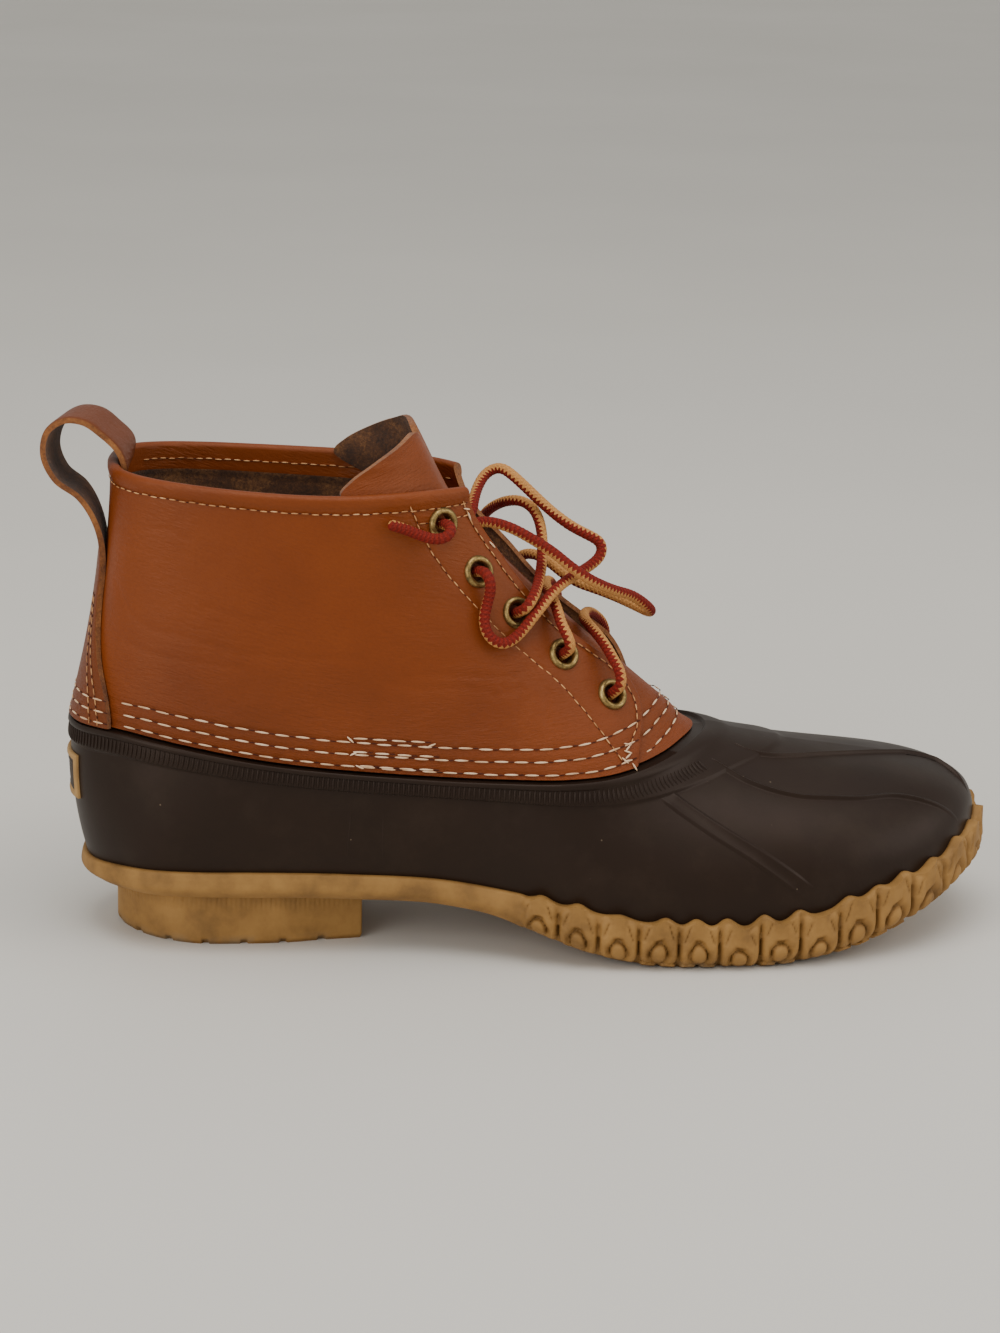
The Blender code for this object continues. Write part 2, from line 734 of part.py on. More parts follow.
# Lace: one slack round lace. Routes run from the mouth of one eyelet to the next, in millimetres.
MILLIMETRE = 0.001
LACE_ROUTES = {
    "lace_end": [
        (65.2, -27.2, 139.8), (66.6, -30.2, 139.5), (65.8, -32.9, 137.4), (61.8, -33.2, 136.3),
        (57.0, -33.3, 137.6), (52.0, -34.6, 139.9), (46.5, -36.6, 142.0),
    ],
    "lace_loop_top": [
        (76.8, -24.1, 123.9), (78.5, -27.3, 123.6), (79.6, -28.6, 119.8), (78.5, -28.6, 114.5),
        (77.4, -30.2, 109.0), (79.2, -31.6, 104.2), (83.5, -31.3, 101.8), (88.2, -29.0, 103.8),
        (94.4, -25.4, 110.4), (101.2, -18.5, 116.4), (108.5, -10.5, 119.4), (113.6, -6.5, 121.4),
        (117.2, -4.0, 124.2), (117.4, -2.5, 127.8), (113.6, -2.5, 130.2), (108.0, -1.5, 132.9),
        (102.6, 0.0, 136.5), (97.4, 1.0, 140.9), (92.4, 1.5, 145.6), (88.4, 3.0, 149.0),
        (84.6, 6.0, 150.9), (80.6, 6.5, 149.3), (77.6, 3.0, 146.0), (75.6, -3.5, 142.6),
        (74.4, -9.5, 139.6),
    ],
    "lace_loop_long": [
        (77.4, -13.0, 137.4), (82.5, -13.0, 136.8), (88.2, -13.5, 134.8), (94.1, -13.5, 131.5),
        (100.3, -14.5, 127.8), (106.2, -16.5, 123.3), (112.4, -15.5, 119.0), (120.5, -11.0, 114.4),
        (127.6, -5.5, 111.0), (132.3, -2.0, 107.3), (135.0, 2.0, 104.0), (134.6, 6.5, 102.4),
        (131.2, 9.0, 103.6), (125.0, 9.5, 106.4), (117.5, 9.5, 109.4), (111.6, 10.0, 111.4),
        (106.8, 12.0, 114.0), (102.4, 15.5, 117.0), (98.2, 20.0, 118.4), (94.4, 25.2, 117.0),
        (91.4, 27.2, 113.8), (89.5, 23.2, 110.6),
    ],
    "lace_loop_side": [
        (89.5, -24.0, 110.6), (91.2, -26.6, 112.4), (93.4, -24.4, 115.2), (95.2, -18.9, 117.3),
        (97.0, -11.5, 121.2), (98.0, -4.5, 127.0), (97.6, 0.5, 133.3), (95.7, 4.0, 137.5),
        (92.4, 7.0, 139.4), (88.6, 11.0, 138.8), (85.2, 16.5, 136.4), (82.4, 22.0, 133.0),
        (80.2, 26.6, 128.8), (78.6, 27.6, 125.8), (76.9, 24.0, 123.9),
    ],
    "lace_bar_low": [
        (120.7, -24.0, 84.1), (122.3, -26.6, 86.8), (122.2, -25.0, 90.4), (120.2, -21.6, 94.0),
        (117.6, -17.0, 98.0), (114.6, -10.5, 101.0), (113.0, -3.0, 101.8), (113.2, 4.5, 101.6),
        (115.0, 11.5, 101.0), (118.0, 18.0, 98.6), (121.4, 23.6, 94.4), (123.2, 26.8, 89.6),
        (122.4, 25.6, 86.0), (120.8, 22.6, 84.0),
    ],
    "lace_bar_middle": [
        (104.6, -24.0, 97.3), (105.8, -26.8, 99.4), (104.8, -26.4, 102.8), (102.8, -23.2, 106.4),
        (101.6, -18.4, 110.6), (100.2, -11.0, 113.0), (99.6, -3.0, 113.6), (100.4, 4.5, 113.2),
        (102.0, 11.3, 111.6), (103.8, 17.6, 108.8), (105.6, 23.0, 105.2), (106.6, 26.4, 101.6),
        (105.8, 25.6, 98.8), (104.7, 22.8, 97.2),
    ],
}
LACE_STEP = 1.75


def smooth_route(points):
    """Even steps along a smooth curve through a route's points."""
    knots = np.array(points) * MILLIMETRE
    run = np.concatenate([[0], np.cumsum(np.linalg.norm(np.diff(knots, axis=0), axis=1) ** 0.5)])
    fine = np.linspace(0, run[-1], 600)
    curve = np.stack([flow(fine, run, knots[:, i]) for i in range(3)], -1)
    length = np.concatenate([[0], np.cumsum(np.linalg.norm(np.diff(curve, axis=0), axis=1))])
    steps = np.linspace(0, length[-1], round(length[-1] / (LACE_STEP * LACE)) + 1)
    return np.stack([np.interp(steps, length, curve[:, i]) for i in range(3)], -1)


def lace(name, points):
    path = bpy.data.curves.new(name, "CURVE")
    path.dimensions = "3D"
    path.bevel_depth = LACE / 2
    path.bevel_resolution = 2
    path.use_fill_caps = True
    route = smooth_route(points)
    spline = path.splines.new("POLY")
    spline.points.add(len(route) - 1)
    for point, place in zip(spline.points, route):
        point.co = (*place, 1.0)
    obj = bpy.data.objects.new(name, path)
    boot.objects.link(obj)
    return finish(obj, LACE_RED, 0.60)


def main():
    rubber_bottom()
    outsole()
    insole()
    heel_patch()
    wall = quarters()
    for side, name in ((-1, "lateral"), (1, "medial")):
        for row in range(len(EYELETS)):
            eyelet(f"eyelet_{name}_{row + 1}", row, side)
            punch(wall, row, side)
    tongue()
    backstay_loop()
    for name, points in LACE_ROUTES.items():
        lace(name, points)


for old in list(bpy.data.objects):
    bpy.data.objects.remove(old)
boot = bpy.data.collections.new("duck_boot")
cutters = bpy.data.collections.new("cutters")
bpy.context.scene.collection.children.link(boot)
bpy.context.scene.collection.children.link(cutters)
main()
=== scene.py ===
"""Right duck boot on a pale floor: rubber bottom, chain-tread outsole, laced leather shaft and tongue,
pull loop, brass eyelets and one slack lace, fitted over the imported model."""

import math

import bmesh
import bpy
import numpy as np
from mathutils import Matrix, Vector


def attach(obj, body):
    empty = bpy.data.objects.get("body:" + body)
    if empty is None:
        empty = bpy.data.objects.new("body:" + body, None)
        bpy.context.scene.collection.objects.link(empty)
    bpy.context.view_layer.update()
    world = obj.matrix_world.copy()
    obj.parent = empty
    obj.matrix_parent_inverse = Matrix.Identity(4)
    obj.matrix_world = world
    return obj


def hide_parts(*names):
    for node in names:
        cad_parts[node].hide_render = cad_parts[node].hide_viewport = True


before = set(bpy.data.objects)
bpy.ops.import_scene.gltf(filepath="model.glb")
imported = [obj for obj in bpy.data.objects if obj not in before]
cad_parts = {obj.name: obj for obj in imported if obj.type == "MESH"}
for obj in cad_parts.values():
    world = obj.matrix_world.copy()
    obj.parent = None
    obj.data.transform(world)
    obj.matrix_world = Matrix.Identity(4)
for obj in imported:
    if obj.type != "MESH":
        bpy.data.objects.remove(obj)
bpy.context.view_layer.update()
MILLIMETRE = 0.001

# Camera. It looks down at the outer side from a little towards the heel, as the photo does, and is
# tipped slightly to its right.
AIM = Vector((0.0855, 0.0, 0.0855))
DISTANCE = 1.0
SENSOR_WIDTH = 36.0
FOCAL_LENGTH = 82.37
NEAREST = 0.05


def in_scene(name, data):
    """A new object that holds this data, linked to the scene."""
    obj = bpy.data.objects.new(name, data)
    bpy.context.scene.collection.objects.link(obj)
    return obj


swing, dip, tip = (math.radians(a) for a in (5.0, 16.0, 1.3))
ahead = Vector((math.sin(swing) * math.cos(dip), math.cos(swing) * math.cos(dip), -math.sin(dip)))
level = Vector((math.cos(swing), -math.sin(swing), 0.0))
upright = level.cross(ahead)
right = level * math.cos(tip) + upright * math.sin(tip)
above = upright * math.cos(tip) - level * math.sin(tip)
lens = bpy.data.cameras.new("camera")
lens.sensor_width = SENSOR_WIDTH
lens.lens = FOCAL_LENGTH
lens.clip_start = NEAREST
camera = in_scene("camera", lens)
camera.matrix_world = Matrix.Translation(AIM - ahead * DISTANCE) @ Matrix(
    (right, above, -ahead)
).transposed().to_4x4()
bpy.context.scene.camera = camera


# Lace: one round braided lace, red with a gold half. It runs slack from eyelet to eyelet, stands up in
# loops in front of the throat, and its free end lies on the outer side. Sewn to nothing.
LACE = 0.0038
BRAID_PITCH = 0.0015
BRAID_STRANDS = 3
# Radius between the strands and the strands' rise, as shares of the lace's radius.
BRAID_CORE = 0.88
BRAID_RISE = 0.07
# The side that the gold half faces, how fast it turns back there, its turn in radians, and its sway.
GOLD_WAY = np.array([-0.25, -1.0, 0.1])
TURN_BACK = 0.03
GOLD_TURN = 0.55
GOLD_SWAY = 0.45
GOLD_SWAY_LENGTH = 0.011
# Turns of the braid's teeth, and radians of its flecks and strands, in each centimetre and once round.
TEETH_PER_CM = 6.667
FLECKS_PER_CM = 41.9
STRANDS_PER_CM = 20.94
STRANDS_ROUND = 18.85
LACE_SIDES = 24
LACE_STEP = 0.00045
LACE_ROUNDING = 30
# Points of each run on its way through the air, in millimetres.
LACE_ROUTES = {
    "lace_end": [
        (62.0, -22.4, 139.0), (65.2, -27.2, 139.8), (66.6, -30.2, 139.5), (65.8, -32.9, 137.4),
        (61.8, -33.2, 136.3), (57.0, -33.3, 137.6), (52.0, -34.6, 139.9), (46.5, -36.6, 142.0),
    ],
    "lace_loop_top": [
        (74.4, -20.0, 122.4),
        (76.8, -24.1, 123.9), (78.5, -27.3, 123.6), (79.6, -28.6, 119.8), (78.5, -28.6, 114.5),
        (77.4, -30.2, 109.0), (79.2, -31.6, 104.2), (83.5, -31.3, 101.8), (88.2, -29.0, 103.8),
        (94.4, -25.4, 110.4), (101.2, -18.5, 116.4), (108.5, -10.5, 119.4), (113.6, -6.5, 121.4),
        (117.2, -4.0, 124.2), (117.4, -2.5, 127.8), (113.6, -2.5, 130.2), (108.0, -1.5, 132.9),
        (102.6, 0.0, 136.5), (97.4, 1.0, 140.9), (92.4, 1.5, 145.6), (88.4, 3.0, 149.0),
        (84.6, 6.0, 150.9), (80.6, 6.5, 149.3), (77.6, 3.0, 146.0), (75.6, -3.5, 142.6),
        (74.4, -9.5, 139.6), (71.5, -14.0, 138.2),
    ],
    "lace_loop_long": [
        (73.5, -15.5, 136.8),
        (77.4, -13.0, 137.4), (82.5, -13.0, 136.8), (88.2, -13.5, 134.8), (94.1, -13.5, 131.5),
        (100.3, -14.5, 127.8), (106.2, -16.5, 123.3), (112.4, -15.5, 119.0), (120.5, -11.0, 114.4),
        (127.6, -5.5, 111.0), (132.3, -2.0, 107.3), (135.0, 2.0, 104.0), (134.6, 6.5, 102.4),
        (131.2, 9.0, 103.6), (125.0, 9.5, 106.4), (117.5, 9.5, 109.4), (111.6, 10.0, 111.4),
        (106.8, 12.0, 114.0), (102.4, 15.5, 117.0), (98.2, 20.0, 118.4), (94.4, 25.2, 117.0),
        (91.4, 27.2, 113.8), (89.5, 23.2, 110.6), (87.6, 19.0, 108.6),
    ],
    "lace_loop_side": [
        (87.6, -19.6, 108.6),
        (89.5, -24.0, 110.6), (91.2, -26.6, 112.4), (93.4, -24.4, 115.2), (95.2, -18.9, 117.3),
        (97.0, -11.5, 121.2), (98.0, -4.5, 127.0), (97.6, 0.5, 133.3), (95.7, 4.0, 137.5),
        (92.4, 7.0, 139.4), (88.6, 11.0, 138.8), (85.2, 16.5, 136.4), (82.4, 22.0, 133.0),
        (80.2, 26.6, 128.8), (78.6, 27.6, 125.8), (76.9, 24.0, 123.9), (74.8, 19.4, 122.6),
    ],
    "lace_bar_low": [
        (118.6, -19.8, 80.8),
        (120.7, -24.0, 84.1), (122.3, -26.6, 86.8), (122.2, -25.0, 90.4), (120.2, -21.6, 94.0),
        (117.6, -17.0, 98.0), (114.6, -10.5, 101.0), (113.0, -3.0, 101.8), (113.2, 4.5, 101.6),
        (115.0, 11.5, 101.0), (118.0, 18.0, 98.6), (121.4, 23.6, 94.4), (123.2, 26.8, 89.6),
        (122.4, 25.6, 86.0), (120.8, 22.6, 84.0), (118.6, 18.6, 81.2),
    ],
    "lace_bar_middle": [
        (102.6, -19.4, 94.2),
        (104.6, -24.0, 97.3), (105.8, -26.8, 99.4), (104.8, -26.4, 102.8), (102.8, -23.2, 106.4),
        (101.6, -18.4, 110.6), (100.2, -11.0, 113.0), (99.6, -3.0, 113.6), (100.4, 4.5, 113.2),
        (102.0, 11.3, 111.6), (103.8, 17.6, 108.8), (105.6, 23.0, 105.2), (106.6, 26.4, 101.6),
        (105.8, 25.6, 98.8), (104.7, 22.8, 97.2), (102.4, 18.4, 94.6),
    ],
}


def flow(at, stations, values):
    """A smooth curve through a table's points, read at any place."""
    stations = np.asarray(stations, float)
    values = np.asarray(values, float)
    slopes = np.gradient(values, stations)
    at = np.clip(at, stations[0], stations[-1])
    i = np.clip(np.searchsorted(stations, at, side="right") - 1, 0, len(stations) - 2)
    step = stations[i + 1] - stations[i]
    t = (at - stations[i]) / step
    rise = values[i + 1] - values[i]
    start, end = slopes[i] * step, slopes[i + 1] * step
    return values[i] + t * (start + t * (3 * rise - 2 * start - end + t * (start + end - 2 * rise)))


def unit(ways):
    """The same directions, each of length 1."""
    return ways / np.linalg.norm(ways, axis=-1, keepdims=True)


def run_along(points):
    """Distance walked at each point of a row of points."""
    return np.concatenate([[0], np.cumsum(np.linalg.norm(np.diff(points, axis=0), axis=1))])


def even_steps(points, step):
    """The same row of points at even steps."""
    run = run_along(points)
    at = np.linspace(0, run[-1], max(2, round(run[-1] / step) + 1))
    return np.stack([np.interp(at, run, points[:, i]) for i in range(3)], -1)


def lace_route(points):
    """A smooth route through a run's points, at even steps, with its kinks rounded off."""
    knots = np.array(points) * MILLIMETRE
    at = np.concatenate([[0], np.cumsum(np.linalg.norm(np.diff(knots, axis=0), axis=1) ** 0.5)])
    fine = np.linspace(0, at[-1], 1200)
    route = even_steps(np.stack([flow(fine, at, knots[:, i]) for i in range(3)], -1), LACE_STEP)
    for _ in range(LACE_ROUNDING):
        route[1:-1] = (route[:-2] + 2 * route[1:-1] + route[2:]) / 4
    return even_steps(route, LACE_STEP)


def mesh_object(name, points, faces, uv=None, groups=None, smooth_angle=50.0):
    """A piece from points and faces, with a map in centimetres for each point and a finish number for
    each face."""
    mesh = bpy.data.meshes.new(name)
    mesh.from_pydata([tuple(p) for p in points], [], faces)
    if uv is not None:
        layer = mesh.uv_layers.new(name="surface")
        corners = np.empty(len(mesh.loops), dtype=np.int32)
        mesh.loops.foreach_get("vertex_index", corners)
        layer.data.foreach_set("uv", np.asarray(uv, dtype=np.float32)[corners].ravel())
    if groups is not None:
        mesh.polygons.foreach_set("material_index", np.asarray(groups, dtype=np.int32))
    bm = bmesh.new()
    bm.from_mesh(mesh)
    bmesh.ops.recalc_face_normals(bm, faces=bm.faces[:])
    bm.to_mesh(mesh)
    bm.free()
    mesh.shade_smooth()
    mesh.set_sharp_from_angle(angle=math.radians(smooth_angle))
    return in_scene(name, mesh)


def grid_faces(rows, count):
    """Four-sided faces between the points of a grid."""
    return [
        (r * count + c, r * count + c + 1, (r + 1) * count + c + 1, (r + 1) * count + c)
        for r in range(rows - 1)
        for c in range(count - 1)
    ]


def lace_tube(name, route):
    """A braided tube along a route, closed at both ends, with the strands' relief on it."""
    tangent = unit(np.gradient(route, axis=0))
    side = GOLD_WAY
    sides = []
    for t in tangent:
        side = side + GOLD_WAY * TURN_BACK
        side = side - t * side.dot(t)
        side /= np.linalg.norm(side)
        sides.append(side)
    sides = np.array(sides)
    over = np.cross(tangent, sides)
    run = run_along(route)[:, None]
    turn = np.linspace(0, 2 * math.pi, LACE_SIDES + 1)[None, :]
    strand = np.abs(np.sin(math.pi * run / BRAID_PITCH + BRAID_STRANDS * turn))
    strand = strand * np.abs(np.sin(math.pi * run / BRAID_PITCH - BRAID_STRANDS * turn))
    ends = np.minimum(run, run[-1] - run)
    cap = np.sqrt(1 - (1 - np.clip(ends / (LACE * 0.5), 0, 1)) ** 2)
    radius = LACE / 2 * (BRAID_CORE + BRAID_RISE * strand) * np.maximum(cap, 0.02)
    turned = turn - GOLD_TURN + GOLD_SWAY * np.sin(run / GOLD_SWAY_LENGTH) + 0 * run
    ring = np.cos(turned)[..., None] * sides[:, None] + np.sin(turned)[..., None] * over[:, None]
    points = route[:, None] + ring * radius[..., None]
    rows, count, _ = points.shape
    uv = np.stack(np.broadcast_arrays(run * 100, turn / (2 * math.pi)), -1).reshape(-1, 2)
    faces = grid_faces(rows, count)
    faces.append(tuple(range(count - 1)))
    faces.append(tuple((rows - 1) * count + c for c in range(count - 2, -1, -1)))
    lace = mesh_object(name, points.reshape(-1, 3), faces, uv, smooth_angle=80.0)
    bm = bmesh.new()
    bm.from_mesh(lace.data)
    bmesh.ops.remove_doubles(bm, verts=bm.verts[:], dist=1e-7)
    bm.to_mesh(lace.data)
    bm.free()
    return lace


def paint(red, green, blue):
    """A colour for a shader from its values on a screen."""
    shares = np.array([red, green, blue]) / 255
    return (*np.where(shares < 0.04045, shares / 12.92, ((shares + 0.055) / 1.055) ** 2.4), 1.0)


def node(tree, kind, inputs=None, **settings):
    """A node with its settings, and its inputs given as values or as other nodes' sockets."""
    made = tree.nodes.new(kind)
    for key, value in settings.items():
        setattr(made, key, value)
    for key, value in (inputs or {}).items():
        if isinstance(value, bpy.types.NodeSocket):
            tree.links.new(value, made.inputs[key])
        else:
            made.inputs[key].default_value = value
    return made


def math_node(tree, operation, first, second=0.0):
    return node(tree, "ShaderNodeMath", {0: first, 1: second}, operation=operation).outputs[0]


def times(tree, first, second):
    return math_node(tree, "MULTIPLY", first, second)


def noise(tree, place, scale, detail=3.0, roughness=0.55):
    inputs = {"Vector": place, "Scale": scale, "Detail": detail, "Roughness": roughness}
    return node(tree, "ShaderNodeTexNoise", inputs).outputs[0]


def ramp(tree, value, *stops):
    """A colour or shade for a value, from stops of place and colour."""
    made = node(tree, "ShaderNodeValToRGB", {0: value})
    points = made.color_ramp.elements
    while len(points) < len(stops):
        points.new(0.5)
    for point, (place, colour) in zip(points, stops):
        point.position = place
        point.color = colour if isinstance(colour, tuple) else (colour, colour, colour, 1.0)
    return made.outputs[0]


def mix(tree, share, first, second):
    """The first colour, with this share of the second in it."""
    inputs = {0: share, 6: first, 7: second}
    return node(tree, "ShaderNodeMix", inputs, data_type="RGBA").outputs[2]


def stretched(tree, place, scale):
    return node(tree, "ShaderNodeMapping", {"Vector": place, "Scale": scale}).outputs[0]


def new_finish(name, **values):
    """A material, its tree and its shader, with the shader's plain values set."""
    material = bpy.data.materials.new(name)
    material.use_nodes = True
    tree = material.node_tree
    shader = tree.nodes["Principled BSDF"]
    for key, value in values.items():
        shader.inputs[key.replace("_", " ").title().replace("Ior", "IOR")].default_value = value
    return material, tree, shader


def place_on(tree, kind="Object"):
    """Where a point is: on the object in metres, or on its own map in centimetres."""
    if kind == "Object":
        return node(tree, "ShaderNodeTexCoord").outputs["Object"]
    return node(tree, "ShaderNodeUVMap", uv_map="surface").outputs[0]


def feed(tree, shader, name, value):
    tree.links.new(value, shader.inputs[name])


def bump(tree, shader, height, distance, strength=1.0):
    """Adds relief to a shader, on top of any that it has."""
    inputs = {"Height": height, "Distance": distance, "Strength": strength}
    if shader.inputs["Normal"].links:
        inputs["Normal"] = shader.inputs["Normal"].links[0].from_socket
    feed(tree, shader, "Normal", node(tree, "ShaderNodeBump", inputs).outputs[0])


def braid_finish():
    """Red thread with a toothed gold half, each flecked and fibrous, in crossing strands."""
    material, tree, shader = new_finish("braid", roughness=0.75, specular_ior_level=0.25)
    surface = place_on(tree, "surface")
    parts = node(tree, "ShaderNodeSeparateXYZ", {0: surface})
    run, turn = parts.outputs[0], parts.outputs[1]
    tooth = math_node(tree, "PINGPONG", times(tree, run, TEETH_PER_CM), 0.5)
    edge = times(tree, tooth, 0.24)
    lower = math_node(tree, "ADD", edge, 0.06)
    upper = math_node(tree, "SUBTRACT", 0.56, edge)
    after = math_node(tree, "GREATER_THAN", turn, lower)
    before = math_node(tree, "LESS_THAN", turn, upper)
    gold = times(tree, after, before)
    fibre = noise(tree, stretched(tree, surface, (30.0, 12.0, 1.0)), 3.0)
    red = ramp(tree, fibre, (0.30, paint(84, 12, 5)), (0.52, paint(128, 24, 10)), (0.75, paint(158, 52, 26)))
    yellow = ramp(
        tree, fibre, (0.30, paint(142, 80, 30)), (0.55, paint(200, 142, 78)), (0.8, paint(230, 186, 124))
    )
    fleck = math_node(tree, "SINE", times(tree, run, FLECKS_PER_CM))
    dark = ramp(tree, math_node(tree, "MULTIPLY_ADD", fleck, 0.5), (0.40, 0.0), (0.50, 1.0))
    plain = mix(tree, gold, red, yellow)
    shade = times(tree, math_node(tree, "SUBTRACT", 1.0, gold), 0.28)
    feed(tree, shader, "Base Color", mix(tree, times(tree, dark, shade), plain, paint(30, 8, 8)))
    along, spin = times(tree, run, STRANDS_PER_CM), times(tree, turn, STRANDS_ROUND)
    strands = [
        math_node(tree, "ABSOLUTE", math_node(tree, "SINE", math_node(tree, way, along, spin)))
        for way in ("ADD", "SUBTRACT")
    ]
    bump(tree, shader, times(tree, *strands), 0.0003, 0.8)
    bump(tree, shader, noise(tree, stretched(tree, surface, (60.0, 24.0, 1.0)), 4.0), 0.00012, 0.6)
    return material


braid = braid_finish()
for name, points in LACE_ROUTES.items():
    route = lace_route(points)
    lace = lace_tube("braided_" + name, route)
    lace.data.materials.append(braid)
    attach(lace, "root")
    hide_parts(name)


# Rubber bottom: one moulded brown rubber tub round the foot, satin and a little dusty. Its toe carries
# raised lines from the mould, and a knurled band runs under the lip that the leather is sewn into.
LENGTH = 0.306
BALL_WIDTH = 0.104
HEEL_SEAT = 0.0555
RUBBER_HEIGHT = 0.0600
RUBBER_TUCK = 0.0060
RUBBER_FRONT = 0.2085
HEEL_OVERHANG = 0.0020
TOE_TREAD = 0.0040
RIM_TOP = 0.0270
CROWN = 0.0002
WALL_BULGE = 0.0040
EDGE_BULGE = 0.0022
TOE_BULGE = 0.0010
RUBBER_WALL = 0.0028
FLANGE_WALL = 0.0014
FLANGE_RISE = 0.18
FLANGE_TUCK = 1.1
BAND_STEP = 0.0008
BAND_SHARE = 0.84
FLOOR_TUCK = 0.0060
SKIRT_TUCK = 0.0020
SKIRT_DEPTH = 0.09
SOLE_WEB = 0.0050
HEEL_HEIGHT = 0.0185
TOE_LIFT = 0.0240
SHAFT_HEIGHT = 0.1515
SHAFT_BACK = 0.0150
SHAFT_LENGTH = 0.119
SHAFT_WIDTH = 0.076
LEDGE = 0.0010
LEATHER = 0.0021
GAP = 0.0003
CURVE_GAP = 0.0005
FAN = 0.35
# Columns: station, middle and half width as shares of the ball width, height as a share of the rim's.
SOLE_LINE = [
    (0.000, 0.000, 0.000, 0.89), (0.010, 0.000, 0.131, 0.92), (0.039, 0.000, 0.240, 0.97),
    (0.071, 0.000, 0.308, 1.00), (0.124, 0.000, 0.343, 1.01), (0.178, -0.002, 0.353, 1.02),
    (0.286, -0.010, 0.351, 1.00), (0.393, -0.026, 0.358, 0.95), (0.477, -0.038, 0.404, 0.84),
    (0.551, -0.034, 0.457, 0.70), (0.662, -0.017, 0.498, 0.54), (0.770, -0.002, 0.493, 0.62),
    (0.827, 0.007, 0.469, 0.77), (0.884, 0.019, 0.418, 0.94), (0.934, 0.031, 0.339, 1.08),
    (0.965, 0.046, 0.257, 1.22), (1.000, 0.058, 0.000, 1.33),
]
# Columns: station, middle and half width as shares of the ball width, height as a share of the rubber's.
RUBBER_LINE = [
    (0.000, 0.000, 0.000, 1.170), (0.020, 0.000, 0.135, 1.178), (0.049, 0.000, 0.200, 1.185),
    (0.088, 0.000, 0.262, 1.185), (0.128, -0.002, 0.303, 1.170), (0.201, -0.004, 0.341, 1.130),
    (0.279, -0.006, 0.359, 1.085), (0.358, -0.010, 0.365, 1.050), (0.510, -0.017, 0.370, 1.008),
    (0.667, -0.019, 0.385, 0.987), (0.760, -0.021, 0.388, 0.984), (0.824, -0.019, 0.368, 0.992),
    (0.887, -0.014, 0.317, 1.020), (0.931, -0.010, 0.250, 1.048), (0.971, -0.005, 0.154, 1.080),
    (1.000, 0.000, 0.000, 1.098),
]
# Columns: station, half width as a share of half the shaft's, height as a share of the shaft's.
COLLAR_LINE = [
    (0.000, 0.000, 1.026), (0.021, 0.447, 1.024), (0.059, 0.632, 1.022), (0.109, 0.750, 1.019),
    (0.244, 0.908, 1.011), (0.387, 0.982, 1.003), (0.504, 1.000, 0.998), (0.613, 0.974, 0.995),
    (0.739, 0.868, 0.994), (0.874, 0.671, 0.993), (0.950, 0.461, 0.990), (1.000, 0.000, 0.990),
]
# The band at the tub's top edge. Columns: share of the wall's height, rise in band steps.
BAND_RINGS = [
    (0.836, 0.35), (0.842, 0.85), (0.848, 1.0), (0.90, 1.0), (0.945, 1.0), (0.953, 1.55), (0.965, 1.9),
    (0.985, 1.9), (0.996, 1.5),
]
TUB_ROUND = 620
WALL_ROWS = 88
INNER_ROWS = (0.97, 0.78, 0.60, 0.45, 0.30, 0.18)
# The sole's underside. Columns: station, height as a share of the heel's, lift as a share of the toe's.
UNDERSIDE = [
    (0.000, 1.00, 0.00), (0.300, 1.00, 0.00), (0.400, 0.92, 0.00), (0.455, 0.76, 0.00),
    (0.500, 0.46, 0.00), (0.550, 0.20, 0.00), (0.605, 0.04, 0.00), (0.640, 0.00, 0.00),
    (0.740, 0.00, 0.00), (0.800, 0.00, 0.09), (0.870, 0.00, 0.32), (0.930, 0.00, 0.62),
    (1.000, 0.00, 1.00),
]


def smooth(low, high, at):
    """0 up to low, 1 from high on, and a soft step between them."""
    t = np.clip((at - low) / (high - low), 0.0, 1.0)
    return t * t * (3 - 2 * t)


def wrapped(angle):
    """The same place round the boot, from -pi to pi: 0 is the back, pi the front, minus the outer side."""
    return (angle + math.pi) % (2 * math.pi) - math.pi


def fanned(angle):
    """Places round the boot, moved so that the columns of the wall fan out over the instep."""
    return angle + FAN * np.sin(angle)


def level_line(angle, back, front, table, columns):
    """Points of a closed line round the boot. columns gives the middle and the half width."""
    turn = np.abs(angle)
    rows = np.array(table)
    at = np.arccos(1 - 2 * rows[:, 0])
    middle, half = columns(turn, at, rows)
    height = flow(turn, at, rows[:, -1])
    x = back + (front - back) * (1 - np.cos(turn)) / 2
    return np.stack([x, middle + np.sign(angle) * half, height], -1)


def of_ball(turn, at, rows):
    return flow(turn, at, rows[:, 1]) * BALL_WIDTH, flow(turn, at, rows[:, 2]) * BALL_WIDTH


def of_shaft(turn, at, rows):
    return 0 * turn, flow(turn, at, rows[:, 1]) * SHAFT_WIDTH / 2


def sole_line(angle):
    front = LENGTH - TOE_TREAD - HEEL_SEAT
    return level_line(wrapped(angle), RUBBER_TUCK - HEEL_SEAT, front, SOLE_LINE, of_ball) * [1, 1, RIM_TOP]


def rubber_line(angle):
    back, front = HEEL_OVERHANG - HEEL_SEAT, RUBBER_FRONT - HEEL_SEAT
    return level_line(fanned(wrapped(angle)), back, front, RUBBER_LINE, of_ball) * [1, 1, RUBBER_HEIGHT]


def collar_line(angle):
    back = SHAFT_BACK - HEEL_SEAT
    line = level_line(fanned(fanned(wrapped(angle))), back, back + SHAFT_LENGTH, COLLAR_LINE, of_shaft)
    return line * [1, 1, SHAFT_HEIGHT]


def outward(line, angle):
    """The level direction out of a line, at right angles to it."""
    small = 1e-3
    along = line(angle + small) - line(angle - small)
    out = np.stack([-along[..., 1], along[..., 0], 0 * along[..., 0]], -1)
    return unit(out)


def curve_between(p0, p1, p2, p3, t):
    """A place on the curve that leaves p0 towards p1 and reaches p3 from p2."""
    t = np.asarray(t)[..., None]
    s = 1 - t
    return s**3 * p0 + 3 * s * s * t * p1 + 3 * s * t * t * p2 + t**3 * p3


